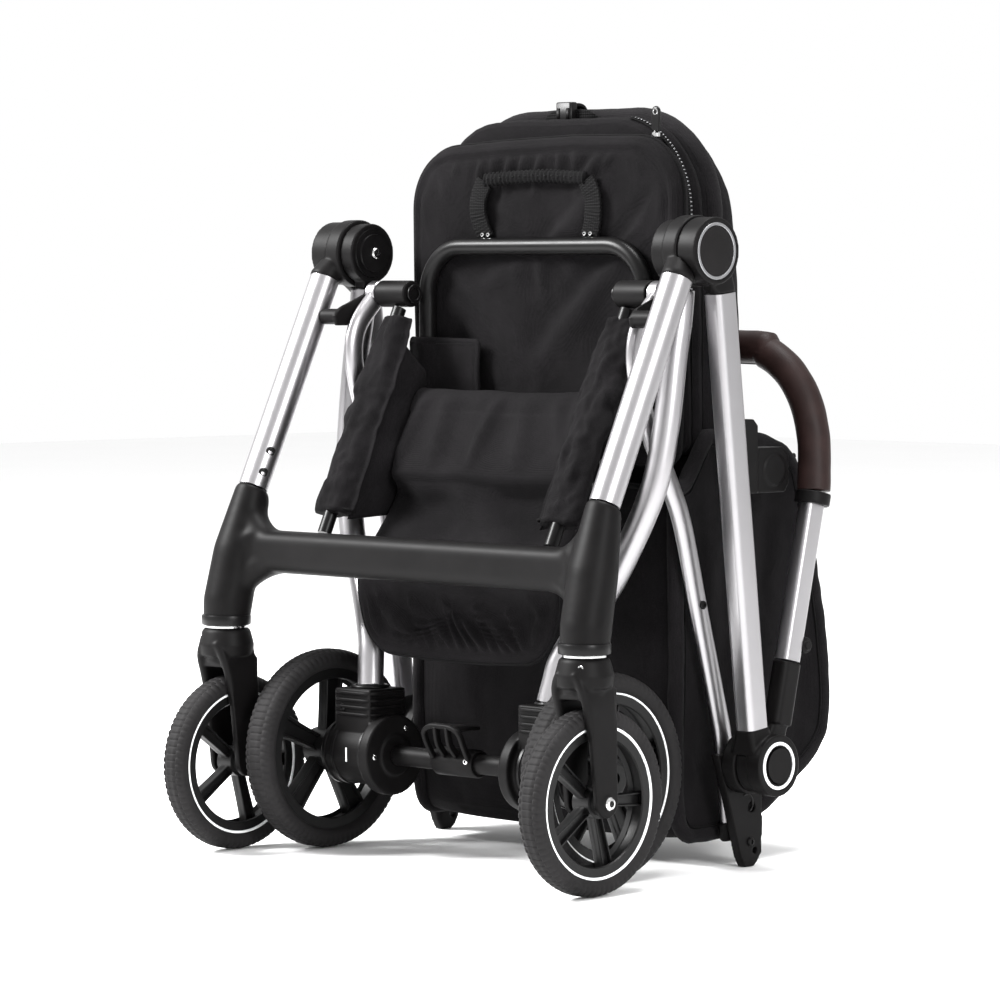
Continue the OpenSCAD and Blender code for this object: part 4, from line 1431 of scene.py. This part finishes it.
def make_zip():
    """Zip along the hood's front layer, from its pull down the right side."""
    base = arch_loop(172.4, 424, 730, 95, 2.0)
    run = [(x, z) for x, z in base if x > 96 and z > 520]
    run.sort(key=lambda p: math.atan2(p[1] - CANOPY_MIDDLE, p[0]))
    tape = painted(sweep("tape", [at(x, 90, z) for x, z in run], box_section(0.0075, 0.0014, 0.0005, 2),
                         AXIS_Y), BINDING)
    pieces = [tape]
    path = [Vector(at(x, 90, z)) for x, z in run]
    for i in range(1, len(path) - 1):
        along = (path[i + 1] - path[i - 1]).normalized()
        out = along.cross(AXIS_Y).normalized()
        if out.x < 0:
            out = -out
        place = path[i] + out * 0.0011 + Vector((0, 0.0011 * (-1) ** i, 0))
        tooth = sweep("tooth", [place - along * 0.00045, place + along * 0.00045],
                      box_section(0.0026, 0.0011, 0.0003, 1),
                      AXIS_Y)
        pieces.append(painted(tooth, PLASTIC_SATIN if i % 2 else SILVER_GREY))
    slider = turned("slider", [(0, 0.0028), (0.001, 0.0042), (0.0045, 0.0042), (0.0055, 0.0028)],
                    at(137.5, 79.5, 707.5), (0, 0, 1), 20)
    pieces.append(painted(slider, CHROME))
    zip_line = joined("canopy_zip", pieces)
    finished(zip_line, "front_frame", None)
    tab = rounded_outline([(132, 713, 2.5), (143, 713, 2.5), (143.6, 738, 5.6), (131.4, 738, 5.6)], 1.0)
    body = pad_skin("tab", tab, lambda p, d: 79.4 - crown(d, 1.4, 1.3), lambda p,
                    d: 79.6 + crown(d, 1.4, 1.3),
                    lambda a, b, d: at(a, d, b), 0.6, 1.2)
    rim = flat_ring("rim", at(137.5, 79.5, 732.5), (0, -1, 0), 0.0021, 0.0033, 0.0017)
    link = ring("link",
                [(0.0005 * math.cos(2 * math.pi * k / 8), 0.0032 + 0.0005 * math.sin(2 * math.pi * k / 8))
                         for k in range(8)], at(137.5, 79.5, 711.5), (1, 0, 0), 24)
    pull = joined("zip_pull_tab", [painted(body, PLASTIC_SATIN), painted(rim, CHROME), painted(link, CHROME)])
    finished(pull, "zip_pull", None, ["zip_pull"])


# ---------------------------------------------------------------- basket


def make_basket():
    """Cloth basket: a band round the front, bottom and back, sewn to two side panels with piped seams."""
    outline = smooth_path([Vector((y, z, 0)) for y, z in (
        (62, 372), (61, 300), (61, 200), (62, 110), (65, 52), (78, 27), (110, 25), (142, 27), (176, 39),
        (208, 54),
        (236, 72), (266, 92), (285, 114), (291, 142), (291, 172), (288, 202), (284, 232), (276, 268),
        (268, 300),
        (258, 334), (248, 366), (238, 394))], 8)
    outline = resampled([tuple(p)[:2] for p in outline], 4.5)
    middle = np.array((165.0, 205.0))
    cols, half = 76, 178
    grid = []
    for i, (y, z) in enumerate(outline):
        ahead, behind = outline[min(i + 1, len(outline) - 1)], outline[max(i - 1, 0)]
        run = (ahead - behind) / np.linalg.norm(ahead - behind)
        out = np.array((-run[1], run[0]))
        if out @ (np.array((y, z)) - middle) < 0:
            out = -out
        row = []
        t = i / (len(outline) - 1)
        for k in range(cols + 1):
            u = -1 + 2 * k / cols
            x = half * u
            full = 1 - abs(u) ** 5
            fullness = 2.5 if z > 40 else 0.3
            wave = 3.2 * uneven(x / 55, t * 7, 3.3) + 1.2 * uneven(x / 18, t * 16, 8.1)
            if z < 34:
                wave = min(wave, 0.4)
            shift = full * (fullness + wave) - 5 * (1 - full) - 1.5
            row.append(at(x, y + out[0] * shift, z + out[1] * shift))
        grid.append(row)
    band = painted(cloth_skin("band", grid, 0.0022), FABRIC)
    pieces = [band]
    loop = np.vstack([outline, [[222, 408]], [[192, 418]], [[150, 424]], [[108, 424]], [[90, 398]],
                      [[76, 378]]])
    loop = resampled(loop, 4.5, closed=True)
    hollows = [(262, 340, 236, 120, 16, 3.4), (232, 372, 200, 150, 18, 3.2), (196, 378, 176, 90, 20, 2.6),
               (120, 380, 132, 120, 22, 2.8), (150, 350, 96, 60, 22, 2.6), (90, 380, 84, 140, 14, 2.2),
               (100, 110, 220, 80, 14, 2.4), (80, 210, 140, 250, 18, 2.4), (250, 110, 150, 60, 10, 2.0)]

    def outer(points, away):
        face = 180.4 - folds(points, hollows) * np.clip((away - 16) / 20, 0, 1)
        face -= np.abs(rumple(points, 40, 3.4, 1.8)) * np.clip((away - 12) / 20, 0, 1)
        return np.clip(face, 172.0, 183.5) - 2.2 * np.exp(-((away / 5) ** 2))

    def inner(points, away):
        return outer(points, away) - 2.2

    for _, sign in SIDES:
        side = pad_skin("side", loop, outer, inner, lambda a, b, d: at(sign * d, a, b), 2.2, 5.0)
        pieces.append(painted(side, FABRIC))
        inset = loop + (middle - loop) / np.linalg.norm(middle - loop, axis=1)[:, None] * 6.5
        roll = sweep("roll", [at(sign * 176, y, max(z, 31)) for y, z in inset],
                     round_section(0.0078, 0.0078, 20),
                     AXIS_X, closed=True)
        displaced(roll, lambda place, normal: 0.0009 * noise.noise(place * 60))
        pieces.append(painted(roll, FABRIC_SOFT))
        inset = loop + (middle - loop) / np.linalg.norm(middle - loop, axis=1)[:, None] * 15
        pieces.append(painted(sweep("pipe", [at(sign * 180.6, y, z) for y, z in inset],
                                    round_section(0.0012, 0.0012, 8),
                                    AXIS_X, closed=True), BINDING))
    for y, z in ((61, 369), (238, 395)):
        rim = [at(-178 + 356 * k / 40, y + 1.5 * math.sin(k), z + 1.5 * math.sin(k * 0.8)) for k in range(41)]
        pieces.append(painted(sweep("rim", rim, round_section(0.0028, 0.0028, 10), AXIS_Z), BINDING))
    seam = [at(x, 57.4, 348) for x in range(-165, 166, 10)]
    pieces.append(stitches("front_seam", seam, 3.6, 2.3, 0.35))
    basket = joined("storage_basket_cloth", pieces)
    finished(basket, "rear_frame", None, ["storage_basket"])


make_backrest()
make_carry_handle()
make_sleeves()
make_seat()
make_leg_rest()
make_canopy()
make_clip()
make_zip()
make_basket()


def close():
    """Gives any CAD part still showing its material and finishes."""
    slot_material = {
        "silver_tube": SILVER, "tyre": RUBBER, "rim_plastic": RIM, "brown_leather": BROWN,
        "black_fabric": FABRIC,
        "webbing": WEBBING, "black_painted_tube": PAINTED, "black_plastic": PLASTIC,
    }
    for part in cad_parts.values():
        for index, held in enumerate(part.data.materials):
            for slot, material in slot_material.items():
                if held and held.name.startswith(slot):
                    part.data.materials[index] = material


close()
